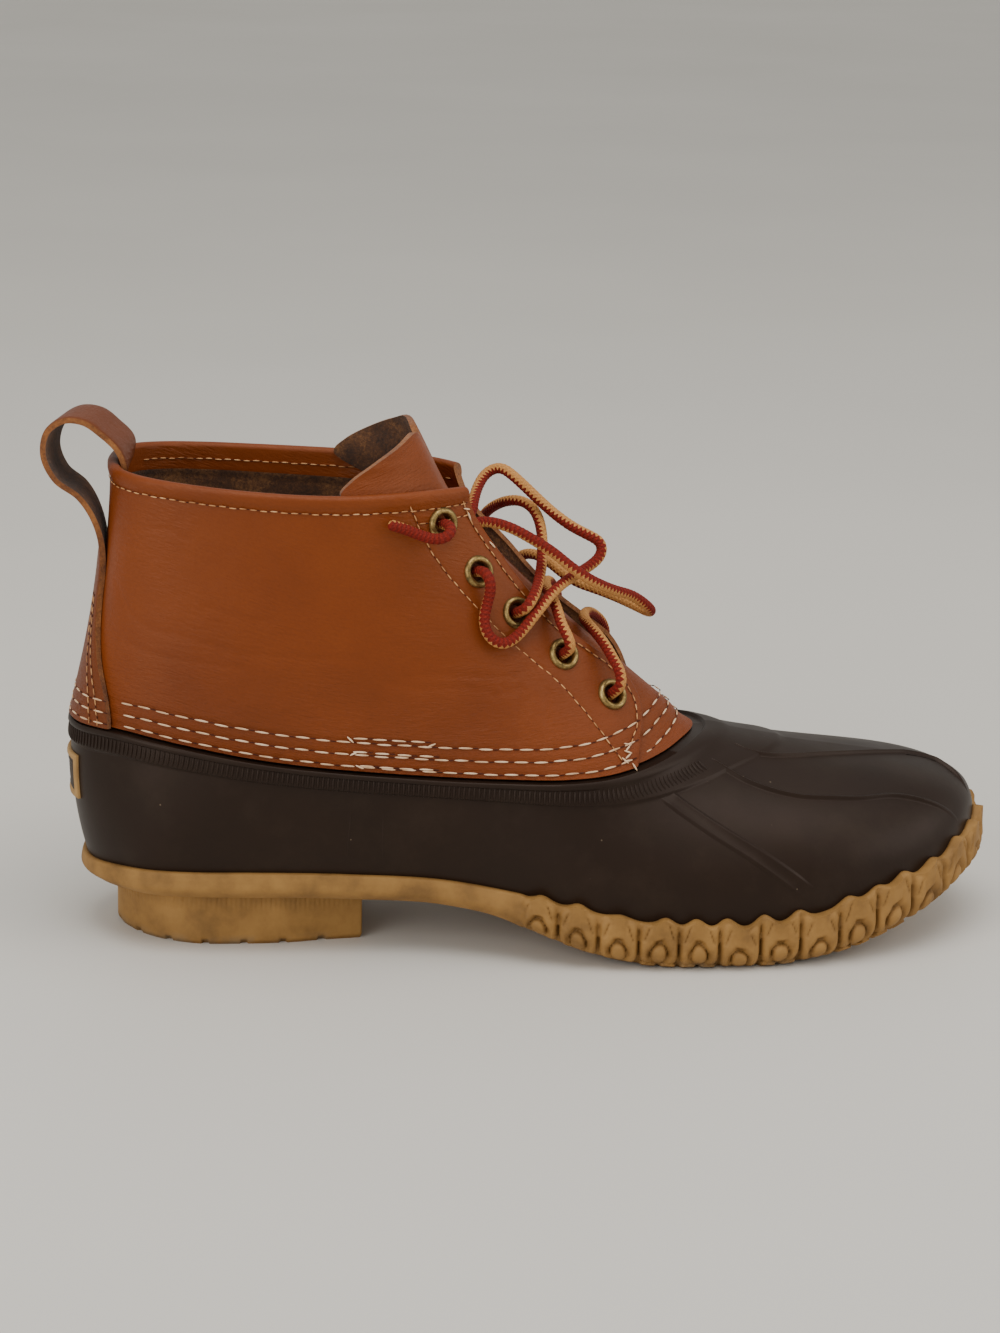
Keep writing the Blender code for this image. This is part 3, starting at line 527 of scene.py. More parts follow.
def mixed(side, front, share):
    return side + (front - side) * share


def rubber(angle, t):
    """The rubber's outer face, from the sole line at t = 0 to its top edge at t = 1."""
    low, high = sole_line(angle), rubber_line(angle)
    turn = np.abs(wrapped(angle))
    front = smooth(math.radians(70), math.radians(165), turn)[..., None]
    toe = smooth(math.radians(140), math.radians(178), turn)[..., None]
    up = (high - low) * [0, 0, 1]
    back = (high - low) * [1, 1, 0]
    out = outward(sole_line, angle)
    lean = (np.sin(turn) * np.sign(wrapped(angle)) * CROWN)[..., None] * front * [0, 0, 1]
    p1 = low + mixed(up * 0.28 + out * WALL_BULGE, up * 0.72 + out * TOE_BULGE, front) + lean * 0.6
    crest = up * (0.03 * toe - 0.46) - back * (0.40 + 0.22 * toe)
    p2 = high + mixed(up * -0.32 + out * EDGE_BULGE, crest, front) + lean
    return curve_between(low, p1, p2, high, t)


def shaft(angle, t):
    """The leather's outer face, from the rubber's ledge at t = 0 to the collar at t = 1."""
    low, high = rubber_line(angle) - outward(rubber_line, angle) * LEDGE, collar_line(angle)
    front = smooth(math.radians(95), math.radians(170), np.abs(wrapped(angle)))[..., None]
    up = (high - low) * [0, 0, 1]
    across = (high - low) * [1, 1, 0]
    p1 = low + mixed(up * 0.25 + across * 0.45, up * 0.30 + across * 0.28, front)
    p2 = high - mixed(up * 0.42, up * 0.26 + across * 0.16, front)
    return curve_between(low, p1, p2, high, t)


def raised(surface, angle, t, height):
    """A point of the surface moved out along its normal."""
    small = 1e-3
    angle, t, height = np.broadcast_arrays(angle, t, height)
    round_it = surface(angle + small, t) - surface(angle - small, t)
    up_it = surface(angle, t + small) - surface(angle, t - small)
    normal = unit(np.cross(up_it, round_it))
    return surface(angle, t) + normal * height[..., None]


def pushed(line, angle, push, height):
    """A level line moved out by a distance, at a height of its own."""
    place = line(angle) + outward(line, angle) * np.broadcast_to(push, angle.shape)[:, None]
    place[:, 2] = height
    return place


def underside(angle):
    """Height of the outsole's underside above the floor, at places along the sole line."""
    rows = np.array(UNDERSIDE)
    at = (sole_line(angle)[..., 0] + HEEL_SEAT) / LENGTH
    height = flow(at, rows[:, 0], rows[:, 1]) * HEEL_HEIGHT + flow(at, rows[:, 0], rows[:, 2]) * TOE_LIFT
    return np.maximum(height, 0.0)


def even_places(line, count):
    """Places round the boot at even steps along a level line, the same on both sides."""
    fine = np.linspace(0, math.pi, 4001)
    run = run_along(line(fine))
    half = np.interp(np.linspace(0, run[-1], count // 2 + 1), run, fine)
    return np.concatenate([half, -half[-2:0:-1]])


def ring_faces(rows, count):
    """Four-sided faces between closed rings of points."""
    faces = []
    for r in range(rows - 1):
        for c in range(count):
            n = (c + 1) % count
            faces.append((r * count + c, r * count + n, (r + 1) * count + n, (r + 1) * count + c))
    return faces


def strip_faces(start, count):
    """Closes a ring with faces between mirrored places."""
    faces = []
    for c in range(count // 2):
        corners = [start + c, start + c + 1, start + count - c - 1, start + (count - c) % count]
        corners = tuple(dict.fromkeys(corners))
        if len(corners) > 2:
            faces.append(corners)
    return faces


def rubber_tub():
    """The tub from its floor up the wall, over the band, down the flange and back to its floor inside."""
    angle = even_places(lambda a: rubber(a, 0.35 + 0 * a), TUB_ROUND)
    front = smooth(math.radians(100), math.radians(114), np.abs(angle))
    floor = underside(angle) + SOLE_WEB
    rings = [pushed(sole_line, angle, -FLOOR_TUCK, floor)]
    rings.append(pushed(sole_line, angle, -SKIRT_TUCK, floor + 0.1 * SOLE_WEB))
    foot = -SKIRT_DEPTH * smooth(math.radians(78), math.radians(88), np.abs(angle))
    for share in np.linspace(0.0, 1.0, WALL_ROWS):
        rings.append(raised(rubber, angle, foot + (BAND_SHARE - 0.012 - foot) * share, 0.0))
    for t, step in BAND_RINGS:
        rings.append(raised(rubber, angle, t, BAND_STEP * step))
    inset = (1 + front * FLANGE_TUCK) * (LEATHER + 2 * CURVE_GAP)
    for edge in (raised(rubber, angle, 1.0, BAND_STEP * 0.9), raised(shaft, angle, 0.0, -inset)):
        edge[:, 2] = rubber_line(angle)[:, 2]
        rings.append(edge)
    rise = FLANGE_RISE * (1 - 0.6 * front)
    rings.append(raised(shaft, angle, rise, -inset))
    rings.append(raised(shaft, angle, rise, -inset - FLANGE_WALL))
    rings.append(raised(shaft, angle, 0.03, -inset - FLANGE_WALL))
    for t in INNER_ROWS:
        rings.append(raised(rubber, angle, t, -RUBBER_WALL))
    rings.append(pushed(sole_line, angle, -FLOOR_TUCK - GAP, floor + RUBBER_WALL))
    faces = ring_faces(len(rings), len(angle)) + strip_faces(0, len(angle))
    faces += strip_faces((len(rings) - 1) * len(angle), len(angle))
    return mesh_object("moulded_rubber_bottom", np.concatenate(rings), faces)


def rubber_finish():
    """Dark satin rubber, mottled, with specks and a thin film of dust."""
    material, tree, shader = new_finish(
        "brown_rubber", specular_ior_level=0.26, specular_tint=(1.0, 0.82, 0.72, 1.0)
    )
    place = place_on(tree)
    broad = noise(tree, place, 26.0, 4.0)
    dark, mean, light = paint(25, 15, 10), paint(29, 18, 12), paint(34, 22, 15)
    colour = ramp(tree, broad, (0.25, dark), (0.55, mean), (0.80, light))
    cells = node(tree, "ShaderNodeTexVoronoi", {"Vector": place, "Scale": 210.0, "Randomness": 1.0})
    speck = ramp(tree, cells.outputs["Distance"], (0.035, 1.0), (0.075, 0.0))
    rare = ramp(tree, noise(tree, place, 95.0, 2.0), (0.60, 0.0), (0.66, 1.0))
    dust = times(tree, speck, rare)
    film = ramp(tree, noise(tree, place, 60.0, 6.0, 0.7), (0.50, 0.0), (0.85, 0.035))
    cover = math_node(tree, "ADD", times(tree, dust, 0.65), film)
    feed(tree, shader, "Base Color", mix(tree, cover, colour, paint(128, 112, 92)))
    feed(tree, shader, "Roughness", ramp(tree, noise(tree, place, 48.0, 5.0), (0.3, 0.40), (0.8, 0.52)))
    bump(tree, shader, noise(tree, place, 900.0, 2.0), 0.00004, 0.5)
    bump(tree, shader, noise(tree, place, 34.0, 2.0), 0.0006, 0.15)
    return material


rubber_brown = rubber_finish()
tub = rubber_tub()
tub.data.materials.append(rubber_brown)
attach(tub, "root")
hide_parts("rubber_bottom")


# Mould lines on the rubber: soft raised lines over the toe, a flat strip down each side of it, and two
# fine marks on each side wall. They are part of the same moulding.
# Columns: share of the wall's height, place round the boot in degrees on the outer side.
RIDGE_TOP = [
    (0.955, -163), (0.882, -158.5), (0.818, -159), (0.766, -163), (0.720, -167.5), (0.644, -173),
    (0.570, -177), (0.474, -180.5), (0.370, -180.5), (0.286, -176.5), (0.190, -173), (0.100, -171),
]
RIDGE_MIDDLE = [
    (0.955, -146.5), (0.86, -144.5), (0.77, -142.5), (0.68, -142), (0.595, -143), (0.525, -146),
    (0.465, -149), (0.40, -153.5), (0.29, -156), (0.16, -158), (0.03, -160),
]
RIDGE_SIDE = [
    (0.860, -123.4), (0.715, -122.9), (0.56, -122.3), (0.41, -122.3), (0.27, -122.8), (0.14, -124.2),
    (0.05, -126),
]
MOULD_MARKS = (64.4, 69.2)
LINE_HEIGHT = 0.0011
STRIP_HEIGHT = 0.0006
MARK_HEIGHT = 0.00022
SUNK = 0.00006


def surface_path(surface, rows, height=0.0, side=1, step=0.0008):
    """Points along a given line on a surface, at even steps, with the way out at each."""
    rows = np.array(rows, float)
    at = np.linspace(0, len(rows) - 1, 40 * len(rows))
    t = flow(at, np.arange(len(rows)), rows[:, 0])
    angle = side * np.radians(flow(at, np.arange(len(rows)), rows[:, 1]))
    lift = height(angle, t) if callable(height) else height
    feet = raised(surface, angle, t, lift)
    tips = raised(surface, angle, t, lift + 0.01)
    path = even_steps(feet, step)
    run, spot = run_along(feet), run_along(path)
    out = np.stack([np.interp(spot, run, (tips - feet)[:, i]) for i in range(3)], -1)
    return path, unit(out)


def soft_ridge(path, out, profile, height, start=0.012, end=0.012):
    """A strip along a path whose section is a soft rise. Its sides and ends sink into the surface."""
    across = np.cross(out, unit(np.gradient(path, axis=0)))
    run = run_along(path)
    ends = smooth(0.0, start, run) * smooth(0.0, end, run[-1] - run)
    spread, rise = np.array(profile).T
    lift = ends[:, None] * rise[None, :] * height - SUNK
    points = path[:, None] + across[:, None] * spread[None, :, None] * MILLIMETRE
    points = points + out[:, None] * lift[..., None]
    return points.reshape(-1, 3), grid_faces(len(path), len(spread))


def joined(name, parts, smooth_angle=60.0):
    """One piece from several sets of points and faces."""
    points, faces, start = [], [], 0
    for place, sides in parts:
        points.append(place)
        faces += [tuple(start + i for i in face) for face in sides]
        start += len(place)
    return mesh_object(name, np.concatenate(points), faces, smooth_angle=smooth_angle)


# Sections across the lines. Columns: millimetres from the middle, rise as a share of the line's height.
LINE_PROFILE = [(x, math.exp(-((x / 0.75) ** 2))) for x in np.linspace(-2.0, 2.0, 13)]
STRIP_PROFILE = [
    (-3.0, 0.0), (-2.6, 0.20), (-2.3, 0.75), (-2.0, 1.0), (-1.6, 0.85), (-1.0, 0.62), (0.0, 0.55),
    (1.0, 0.62), (1.6, 0.80), (2.0, 0.90), (2.3, 0.70), (2.6, 0.20), (3.0, 0.0),
]
MARK_PROFILE = [(-0.5, 0.0), (-0.2, 0.7), (0.0, 1.0), (0.2, 0.7), (0.5, 0.0)]
ridges = [soft_ridge(*surface_path(rubber, RIDGE_TOP), LINE_PROFILE, LINE_HEIGHT, 0.006)]
for side in (1, -1):
    middle_line = surface_path(rubber, RIDGE_MIDDLE, 0.0, side)
    ridges.append(soft_ridge(*middle_line, LINE_PROFILE, LINE_HEIGHT, 0.006, 0.02))
    side_line = surface_path(rubber, RIDGE_SIDE, 0.0, side)
    ridges.append(soft_ridge(*side_line, STRIP_PROFILE, STRIP_HEIGHT, 0.005, 0.015))
    for mark in MOULD_MARKS:
        mark_line = surface_path(rubber, [(0.06, -mark), (0.4, -mark), (0.80, -mark)], 0.0, side)
        ridges.append(soft_ridge(*mark_line, MARK_PROFILE, MARK_HEIGHT))
mould_lines = joined("rubber_mould_lines", ridges)
mould_lines.data.materials.append(rubber_brown)
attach(mould_lines, "root")


# Knurling on the band: fine upright ribs moulded all along it, from the front of one side round the
# heel to the front of the other.
KNURL_PITCH = 0.0016
KNURL_END = 140.0
KNURL_SHARE = 0.899
# Each rib's length, width and rise.
KNURL_RIB = (0.0048, 0.0010, 0.0009)


def beads_tree():
    """Small rounded beads on points, each turned to the point's along and out directions."""
    tree = bpy.data.node_groups.new("beads", "GeometryNodeTree")
    face = tree.interface
    face.new_socket("Geometry", in_out="INPUT", socket_type="NodeSocketGeometry")
    for name in ("Length", "Width", "Rise"):
        face.new_socket(name, in_out="INPUT", socket_type="NodeSocketFloat")
    face.new_socket("Finish", in_out="INPUT", socket_type="NodeSocketMaterial")
    face.new_socket("Geometry", in_out="OUTPUT", socket_type="NodeSocketGeometry")
    given = node(tree, "NodeGroupInput")
    ball = node(tree, "GeometryNodeMeshUVSphere", {"Segments": 8, "Rings": 6, "Radius": 0.5})
    lying = {"Geometry": ball.outputs[0], "Rotation": (0.0, math.pi / 2, 0.0)}
    lying_ball = node(tree, "GeometryNodeTransform", lying)
    sides = {i: given.outputs[side] for i, side in enumerate(("Length", "Width", "Rise"))}
    size = node(tree, "ShaderNodeCombineXYZ", sides)
    scaled = {"Geometry": lying_ball.outputs[0], "Scale": size.outputs[0]}
    shaped = node(tree, "GeometryNodeTransform", scaled)
    along, out = (
        node(tree, "GeometryNodeInputNamedAttribute", {"Name": name}, data_type="FLOAT_VECTOR")
        for name in ("along", "out")
    )
    lie = node(tree, "FunctionNodeAlignRotationToVector", {"Vector": along.outputs[0]}, axis="X")
    lifted = {"Rotation": lie.outputs[0], "Vector": out.outputs[0]}
    stand = node(tree, "FunctionNodeAlignRotationToVector", lifted, axis="Z", pivot_axis="X")
    points = given.outputs["Geometry"]
    spread = {"Points": points, "Instance": shaped.outputs[0], "Rotation": stand.outputs[0]}
    put = node(tree, "GeometryNodeInstanceOnPoints", spread)
    real = node(tree, "GeometryNodeRealizeInstances", {"Geometry": put.outputs[0]})
    smoothed = node(tree, "GeometryNodeSetShadeSmooth", {"Geometry": real.outputs[0]})
    dressed = {"Geometry": smoothed.outputs[0], "Material": given.outputs["Finish"]}
    finished = node(tree, "GeometryNodeSetMaterial", dressed)
    node(tree, "NodeGroupOutput", {0: finished.outputs[0]})
    return tree


beads = beads_tree()


def beaded(name, points, along, out, size, finish):
    """One mesh of beads at the points given. size is each bead's length, width and rise."""
    mesh = bpy.data.meshes.new(name + "_points")
    mesh.from_pydata([tuple(p) for p in points], [], [])
    for label, values in (("along", along), ("out", out)):
        layer = mesh.attributes.new(label, "FLOAT_VECTOR", "POINT")
        layer.data.foreach_set("vector", np.asarray(values, dtype=np.float32).ravel())
    carrier = in_scene(name + "_points", mesh)
    modifier = carrier.modifiers.new("beads", "NODES")
    modifier.node_group = beads
    given = dict(zip(("Length", "Width", "Rise"), size), Finish=finish)
    for item in beads.interface.items_tree:
        if item.in_out == "INPUT" and item.name in given:
            modifier[item.identifier] = given[item.name]
    evaluated = carrier.evaluated_get(bpy.context.evaluated_depsgraph_get())
    made = bpy.data.meshes.new_from_object(evaluated)
    made.name = name
    bpy.data.objects.remove(carrier)
    return in_scene(name, made)


def ribs_on_band():
    line = [(KNURL_SHARE, place) for place in (-KNURL_END, -90.0, 0.0, 90.0, KNURL_END)]
    path, out = surface_path(rubber, line, BAND_STEP, 1, KNURL_PITCH)
    upwards = np.cross(out, unit(np.gradient(path, axis=0)))
    return beaded("rubber_band_knurling", path, upwards, out, KNURL_RIB, rubber_brown)


knurling = ribs_on_band()
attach(knurling, "root")


# Heel label: a small moulded rubber plate on the back of the bottom, with a raised tan border round a
# darker field, which is left bare. Bonded to the tub.
PATCH_LOW = 0.46
PATCH_HIGH = 0.76
PATCH_WIDTH = 0.0260
PATCH_HEIGHT = 0.0150
PATCH_THICK = 0.0010
PATCH_SINK = 0.0002
BORDER_WIDTH = 0.0021
# The border and the finer line inside it: where each starts and ends, measured in from the plate's edge.
BORDER_SIDES = (-0.0001, 0.0005, 0.0016, BORDER_WIDTH)
INNER_SIDES = (0.0026, 0.0030, 0.0034, 0.0038)


def place_at_side(surface, t, side, count=801):
    """Where round the back half a surface is this far to the side, at one height."""
    fine = np.linspace(0, math.pi / 2, count)
    return np.interp(side, surface(fine, np.full(count, t))[:, 1], fine)


def label_plate():
    """The plate on the rubber's back, with finish 0 on its border and sides and 1 on its field."""
    half = place_at_side(rubber, PATCH_LOW, PATCH_WIDTH / 2)
    across, up = np.meshgrid(np.linspace(-1, 1, 61), np.linspace(-1, 1, 41))
    from_edge = np.minimum((1 - np.abs(across)) * PATCH_WIDTH / 2, (1 - np.abs(up)) * PATCH_HEIGHT / 2)
    border, inner = (
        smooth(start, full, from_edge) * (1 - smooth(thin, end, from_edge))
        for start, full, thin, end in (BORDER_SIDES, INNER_SIDES)
    )
    height = GAP + PATCH_THICK * (0.45 + 0.55 * np.maximum(border, 0.35 * inner))
    t = PATCH_LOW + (up + 1) / 2 * (PATCH_HIGH - PATCH_LOW)
    top = raised(rubber, across * half, t, height)
    under = raised(rubber, across * half, t, -PATCH_SINK)
    dark = from_edge > BORDER_WIDTH
    cell_dark = dark[:-1, :-1] & dark[1:, 1:]
    groups = [int(v) for v in cell_dark.ravel()]
    return grid_slab("heel_label", top, under, groups)


def grid_slab(name, top, under, top_groups=None, uv=None, holes=None, fold_row=None):
    """A sheet between two grids with its sides closed. Finishes are 0 on top, 1 under and 2 at the edges,
    or as given for the top. Cells in holes are left out, and their sides closed. From fold_row up the
    sheet is turned over, so its under side is finished as the top."""
    rows, count, _ = top.shape
    size = rows * count
    kept = np.ones((rows - 1, count - 1), bool) if holes is None else ~holes
    faces, groups = [], []
    for r in range(rows - 1):
        for c in range(count - 1):
            if not kept[r, c]:
                continue
            i = r * count + c
            faces.append((i, i + 1, i + count + 1, i + count))
            groups.append(top_groups[r * (count - 1) + c] if top_groups is not None else 0)
            faces.append((size + i + count, size + i + count + 1, size + i + 1, size + i))
            folded = fold_row is not None and r >= fold_row
            groups.append(0 if top_groups is not None or folded else 1)
    padded = np.zeros((rows + 1, count + 1), bool)
    padded[1:-1, 1:-1] = kept
    edge_group = 0 if top_groups is not None else 2
    for r in range(rows):
        for c in range(count - 1):
            if padded[r, c + 1] != padded[r + 1, c + 1]:
                a, b = r * count + c, r * count + c + 1
                faces.append((a, b, size + b, size + a))
                groups.append(edge_group)
    for r in range(rows - 1):
        for c in range(count):
            if padded[r + 1, c] != padded[r + 1, c + 1]:
                a, b = r * count + c, (r + 1) * count + c
                faces.append((a, b, size + b, size + a))
                groups.append(edge_group)
    points = np.concatenate([top.reshape(-1, 3), under.reshape(-1, 3)])
    both = None if uv is None else np.concatenate([uv.reshape(-1, 2)] * 2)
    used = np.zeros(len(points), bool)
    used[np.unique(np.concatenate([np.array(f) for f in faces]))] = True
    place = np.cumsum(used) - 1
    faces = [tuple(int(place[i]) for i in f) for f in faces]
    return mesh_object(name, points[used], faces, None if both is None else both[used], groups)


def crepe_finish(name, light, mean, dark):
    """Tan moulded rubber, a little translucent looking, with painted shade in its creases and a grey smear
    of dirt near the floor.
    """
    material, tree, shader = new_finish(name, roughness=0.66, specular_ior_level=0.35)
    place = place_on(tree)
    broad = noise(tree, place, 70.0, 5.0, 0.6)
    colour = ramp(tree, broad, (0.28, dark), (0.50, mean), (0.75, light))
    # Painted shade: ambient occlusion darkens the colour in the creases and hollows.
    nook = node(tree, "ShaderNodeAmbientOcclusion", {"Distance": 0.0025}, samples=8)
    crease = ramp(tree, nook.outputs["AO"], (0.30, 1.0), (0.85, 0.0))
    painted_crease_shade = mix(tree, times(tree, crease, 0.45), colour, paint(84, 52, 18))
    height = node(tree, "ShaderNodeSeparateXYZ", {0: place}).outputs[2]
    low = ramp(tree, times(tree, height, 100.0), (0.0, 1.0), (0.35, 0.0))
    smear = ramp(tree, noise(tree, place, 120.0, 4.0), (0.45, 0.0), (0.62, 0.75))
    feed(tree, shader, "Base Color", mix(tree, times(tree, low, smear), painted_crease_shade, paint(112, 96, 74)))
    bump(tree, shader, noise(tree, place, 420.0, 4.0), 0.00015, 0.5)
    bump(tree, shader, noise(tree, place, 110.0, 3.0), 0.0005, 0.3)
    return material


label = label_plate()
border_finish = crepe_finish("label_border", paint(190, 158, 108), paint(168, 132, 82), paint(132, 98, 58))
field_finish = crepe_finish("label_field", paint(66, 50, 38), paint(52, 40, 31), paint(40, 30, 24))
for finish in (border_finish, field_finish):
    label.data.materials.append(finish)
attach(label, "root")
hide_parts("heel_patch")


# Outsole: tan moulded rubber, thin and smooth along the waist and heel. Round the forefoot its wall is
# cast as a chain of links, with webs between them and a wavy top edge. Bonded under the tub.
RIM_PROUD = 0.0016
LIP_SHARE = 0.008
CHAIN_START = 0.145
CHAIN_UNDERCUT = 0.0035
CHAIN_LINKS = 14
CHAIN_STEP = 0.00052
PLAIN_STEP = 0.0016
LINK_RISE = 0.0034
LINK_MILLIMETRES = 13.0
SOLE_ROWS = 40
TREAD_LENGTH = 0.0135
TREAD_WIDTH = 0.0125
TREAD_DEPTH = 0.0014
TREAD_COLUMNS = 42
# For each link from the waist to the toe: how far it sits down in mm, and whether it has a foot.
LINK_KINDS = [
    (0.8, 0), (1.0, 0), (0.9, 0), (0.0, 1), (0.0, 1), (1.3, 0), (0.0, 1), (1.1, 0), (0.2, 1), (0.0, 1),
    (1.0, 0), (0.2, 1), (1.0, 0), (0.4, 1),
]
# Peaks of the wavy top edge: place counted in links, and height.
CHAIN_PEAKS = [
    (0.58, 1.0), (1.50, 1.0), (2.55, 0.5), (3.68, 1.0), (4.43, 1.1), (5.18, 1.1), (6.09, 1.1),
    (6.97, 0.9), (8.25, 0.7), (9.05, 0.6), (9.80, 0.8), (10.7, 0.7), (11.6, 0.8), (12.5, 0.7),
    (13.4, 0.9),
]


def lump(x, middle, half, edge=0.35):
    """1 within half of the middle, falling softly to 0 outside it."""
    return 1 - smooth(half * (1 - edge), half * (1 + edge), np.abs(x - middle))


def link_relief(a, b, foot):
    """Rise of one link's cast shape. a runs across it from -1 to 1, b up it from 0 to 1."""
    spread = np.abs(a)
    below = np.clip((0.60 - b) / 0.57, 0, 2)
    side_gap = (spread / 0.99) ** 5 * (1 - 0.7 * smooth(0.74, 0.92, b))
    body = 0.54 * np.clip(1 - side_gap - below**4, 0, 1) ** 0.4
    bow = np.abs((spread - 0.57) / 0.43) ** 3 + np.abs((b - 0.57) / 0.48) ** 3.4
    cheeks = 0.46 * np.clip(1 - bow, 0, 1) ** 0.5
    ring = np.hypot(a / 0.50, (b - 0.33) / 0.26)
    crown = 0.44 * lump(a, 0, 0.42, 0.5) * smooth(0.56, 0.68, b)
    button = 0.44 * np.sqrt(np.clip(1 - (ring / 0.84) ** 2, 0, 1))
    pads = foot * 0.80 * lump(spread, 0.52, 0.40, 0.3) * (1 - smooth(0.08, 0.15, b))
    rise = np.maximum(body + np.maximum.reduce([cheeks * smooth(0.80, 1.05, ring), crown, button]), pads)
    arch = lump(ring, 1.00, 0.20, 0.8) * smooth(0.06, 0.20, b)
    pit = lump(spread, 0.50, 0.12, 0.8) * lump(b, 0.36, 0.10, 0.8)
    fold = lump(spread, 0.60 + 0.7 * (b - 0.34), 0.05, 0.9) * lump(b, 0.34, 0.18, 0.7)
    corner = lump(spread + 0.9 * (b - 0.80), 0.62, 0.05, 0.9)
    corner = corner * smooth(0.60, 0.68, b) * (1 - smooth(0.9, 0.98, b))
    return rise - 0.22 * arch - 0.26 * pit - 0.10 * fold - 0.20 * corner


def outsole_ring_places():
    """Places round the sole, closer together along the chain, each with its place counted in links."""
    fine = np.linspace(0, math.pi, 4001)
    line = sole_line(fine)
    run = run_along(line)
    start = np.interp(CHAIN_START - HEEL_SEAT, line[:, 0], run)
    back = np.arange(0.0, start, PLAIN_STEP)
    steps = np.linspace(start, run[-1], round((run[-1] - start) / CHAIN_STEP) + 1)
    at = np.concatenate([back, steps])
    half = np.interp(at, run, fine)
    pitch = (run[-1] - start) / CHAIN_LINKS
    link = (at - start) / pitch
    link = np.concatenate([link, link[-2:0:-1]])
    return np.concatenate([half, -half[-2:0:-1]]), link


def chain_shape(link, b):
    """Rise of the chain's cast shapes at places along it."""
    number = np.clip(np.floor(link), 0, CHAIN_LINKS - 1).astype(int)
    a = 2 * (link - number) - 1
    drop, foot = np.array(LINK_KINDS, float)[number].T
    down = drop / LINK_MILLIMETRES
    rise = link_relief(a * 1.04, b + down, foot)
    web_side = np.abs(a) - 1.0 + 0.55 * np.abs(b - 0.72 + down)
    web = 0.34 * smooth(-0.30, -0.22, web_side) * lump(b, 0.74 - down, 0.16, 0.2)
    top_lip = 0.42 * smooth(0.90, 0.97, b)
    return np.maximum.reduce([rise, web, top_lip])


def chain_top(link):
    """Height of the wavy top edge at places along the chain."""
    return sum(tall * np.exp(-(((link - place) / 0.27) ** 2)) for place, tall in CHAIN_PEAKS)


def tread_relief(x, y):
    """How far the underside is cut in, in a pattern of links and bars."""
    cell_x, cell_y = x / TREAD_LENGTH, y / TREAD_WIDTH
    row = np.floor(cell_x)
    a = (cell_x - row) * 2 - 1
    c = (cell_y + 0.5 * (row % 2)) % 1.0 * 2 - 1
    lug = lump(np.hypot(a, c), 0, 0.80, 0.15) - 0.9 * lump(np.hypot(a, c), 0, 0.32, 0.3)
    return TREAD_DEPTH * (1 - np.clip(lug, 0, 1))


def outsole_shell():
    """The sole from its seat under the tub, out and down its cast wall, and across its underside."""
    angle, link = outsole_ring_places()
    low = underside(angle)
    floor = low + SOLE_WEB - GAP
    on = smooth(0.0, 0.25, link)
    lip = LIP_SHARE * (1 - on) + on * (0.050 * chain_top(link) - 0.012)
    bulge = RIM_PROUD * (1 - on) + 0.0003 * on
    edge = raised(rubber, angle, lip, bulge)
    rings = [
        pushed(sole_line, angle, CURVE_GAP - FLOOR_TUCK, floor),
        pushed(sole_line, angle, CURVE_GAP - SKIRT_TUCK, floor + 0.1 * SOLE_WEB),
        raised(rubber, angle, np.minimum(lip, 0.0), -0.0006 + 0 * low),
        raised(rubber, angle, lip, -0.0004 + 0 * low),
        raised(rubber, angle, lip + 0.004, 0.5 * bulge + 0.0007 * on),
    ]
    stations = [0.0, 0.30, 0.75, 1.0]
    drop = edge[:, 2] - low
    marks = np.array([
        edge,
        pushed(sole_line, angle, bulge * 1.25, edge[:, 2] - drop * 0.30),
        pushed(sole_line, angle, bulge, edge[:, 2] - drop * 0.75),
        pushed(sole_line, angle, bulge - CHAIN_UNDERCUT * (0.62 + 0.18 * on), low),
    ])
    out = outward(sole_line, angle)
    for v in np.linspace(0, 1, SOLE_ROWS):
        weights = [float(flow(v, stations, row)) for row in np.eye(4)]
        ring = np.einsum("k,kcd->cd", weights, marks)
        rise = on * chain_shape(link, 1 - v + 0 * link) * LINK_RISE
        rings.append(ring + out * (rise * (1 - 0.45 * smooth(0.93, 1.0, v)))[:, None])
    count = len(angle)
    points = np.concatenate(rings)
    faces = ring_faces(len(rings), count) + strip_faces(0, count)
    last = (len(rings) - 1) * count
    shares = np.linspace(0, 1, TREAD_COLUMNS)[1:-1]
    grid = []
    base = len(points)
    crossings = []
    for c in range(1, count // 2):
        a, b = last + c, last + count - c
        crossing = points[a] + (points[b] - points[a]) * shares[:, None]
        from_side = np.minimum(shares, 1 - shares) * np.linalg.norm(points[b] - points[a])
        crossing[:, 2] += smooth(0.0, 0.006, from_side) * tread_relief(crossing[:, 0], crossing[:, 1])
        grid.append([a] + list(range(base, base + len(shares))) + [b])
        base += len(shares)
        crossings.append(crossing)
    for row, next_row in zip(grid, grid[1:]):
        faces += [(row[i], row[i + 1], next_row[i + 1], next_row[i]) for i in range(len(row) - 1)]
    for end_point, row in ((last, grid[0]), (last + count // 2, grid[-1])):
        faces += [(end_point, row[i], row[i + 1]) for i in range(len(row) - 1)]
    return mesh_object("chain_outsole", np.concatenate([points] + crossings), faces, smooth_angle=70.0)


crepe = crepe_finish("tan_crepe", paint(162, 121, 64), paint(142, 104, 52), paint(112, 80, 38))
sole = outsole_shell()
sole.data.materials.append(crepe)
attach(sole, "root")
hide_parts("outsole")


# Heel block: part of the outsole's moulding, with an upright wall, fine ribs under its top, small
# notches at the floor and a straight breast. Worn a little at its back edge.
HEEL_LENGTH = 0.0800
HEEL_BACK = 0.0156
RIB_PITCH = 0.0016
RIB_DEPTH = 0.00034
NOTCH_PITCH = 0.0127
NOTCH_DEPTH = 0.0012
NOTCH_HALF = 0.0011
WORN = 0.0007
HEEL_STEP = 0.00045
HEEL_LEVELS = np.concatenate([[0.0, 0.0003, 0.0008, 0.0014, 0.0020], np.linspace(0.003, 0.0205, 18)])
# Columns: share of the heel's length from the back, half width as a share of the ball width.
HEEL_LINE = [
    (0.000, 0.000), (0.012, 0.055), (0.040, 0.100), (0.109, 0.173), (0.230, 0.240), (0.342, 0.269),
    (0.504, 0.274), (0.667, 0.269), (0.840, 0.245), (1.000, 0.222),
]


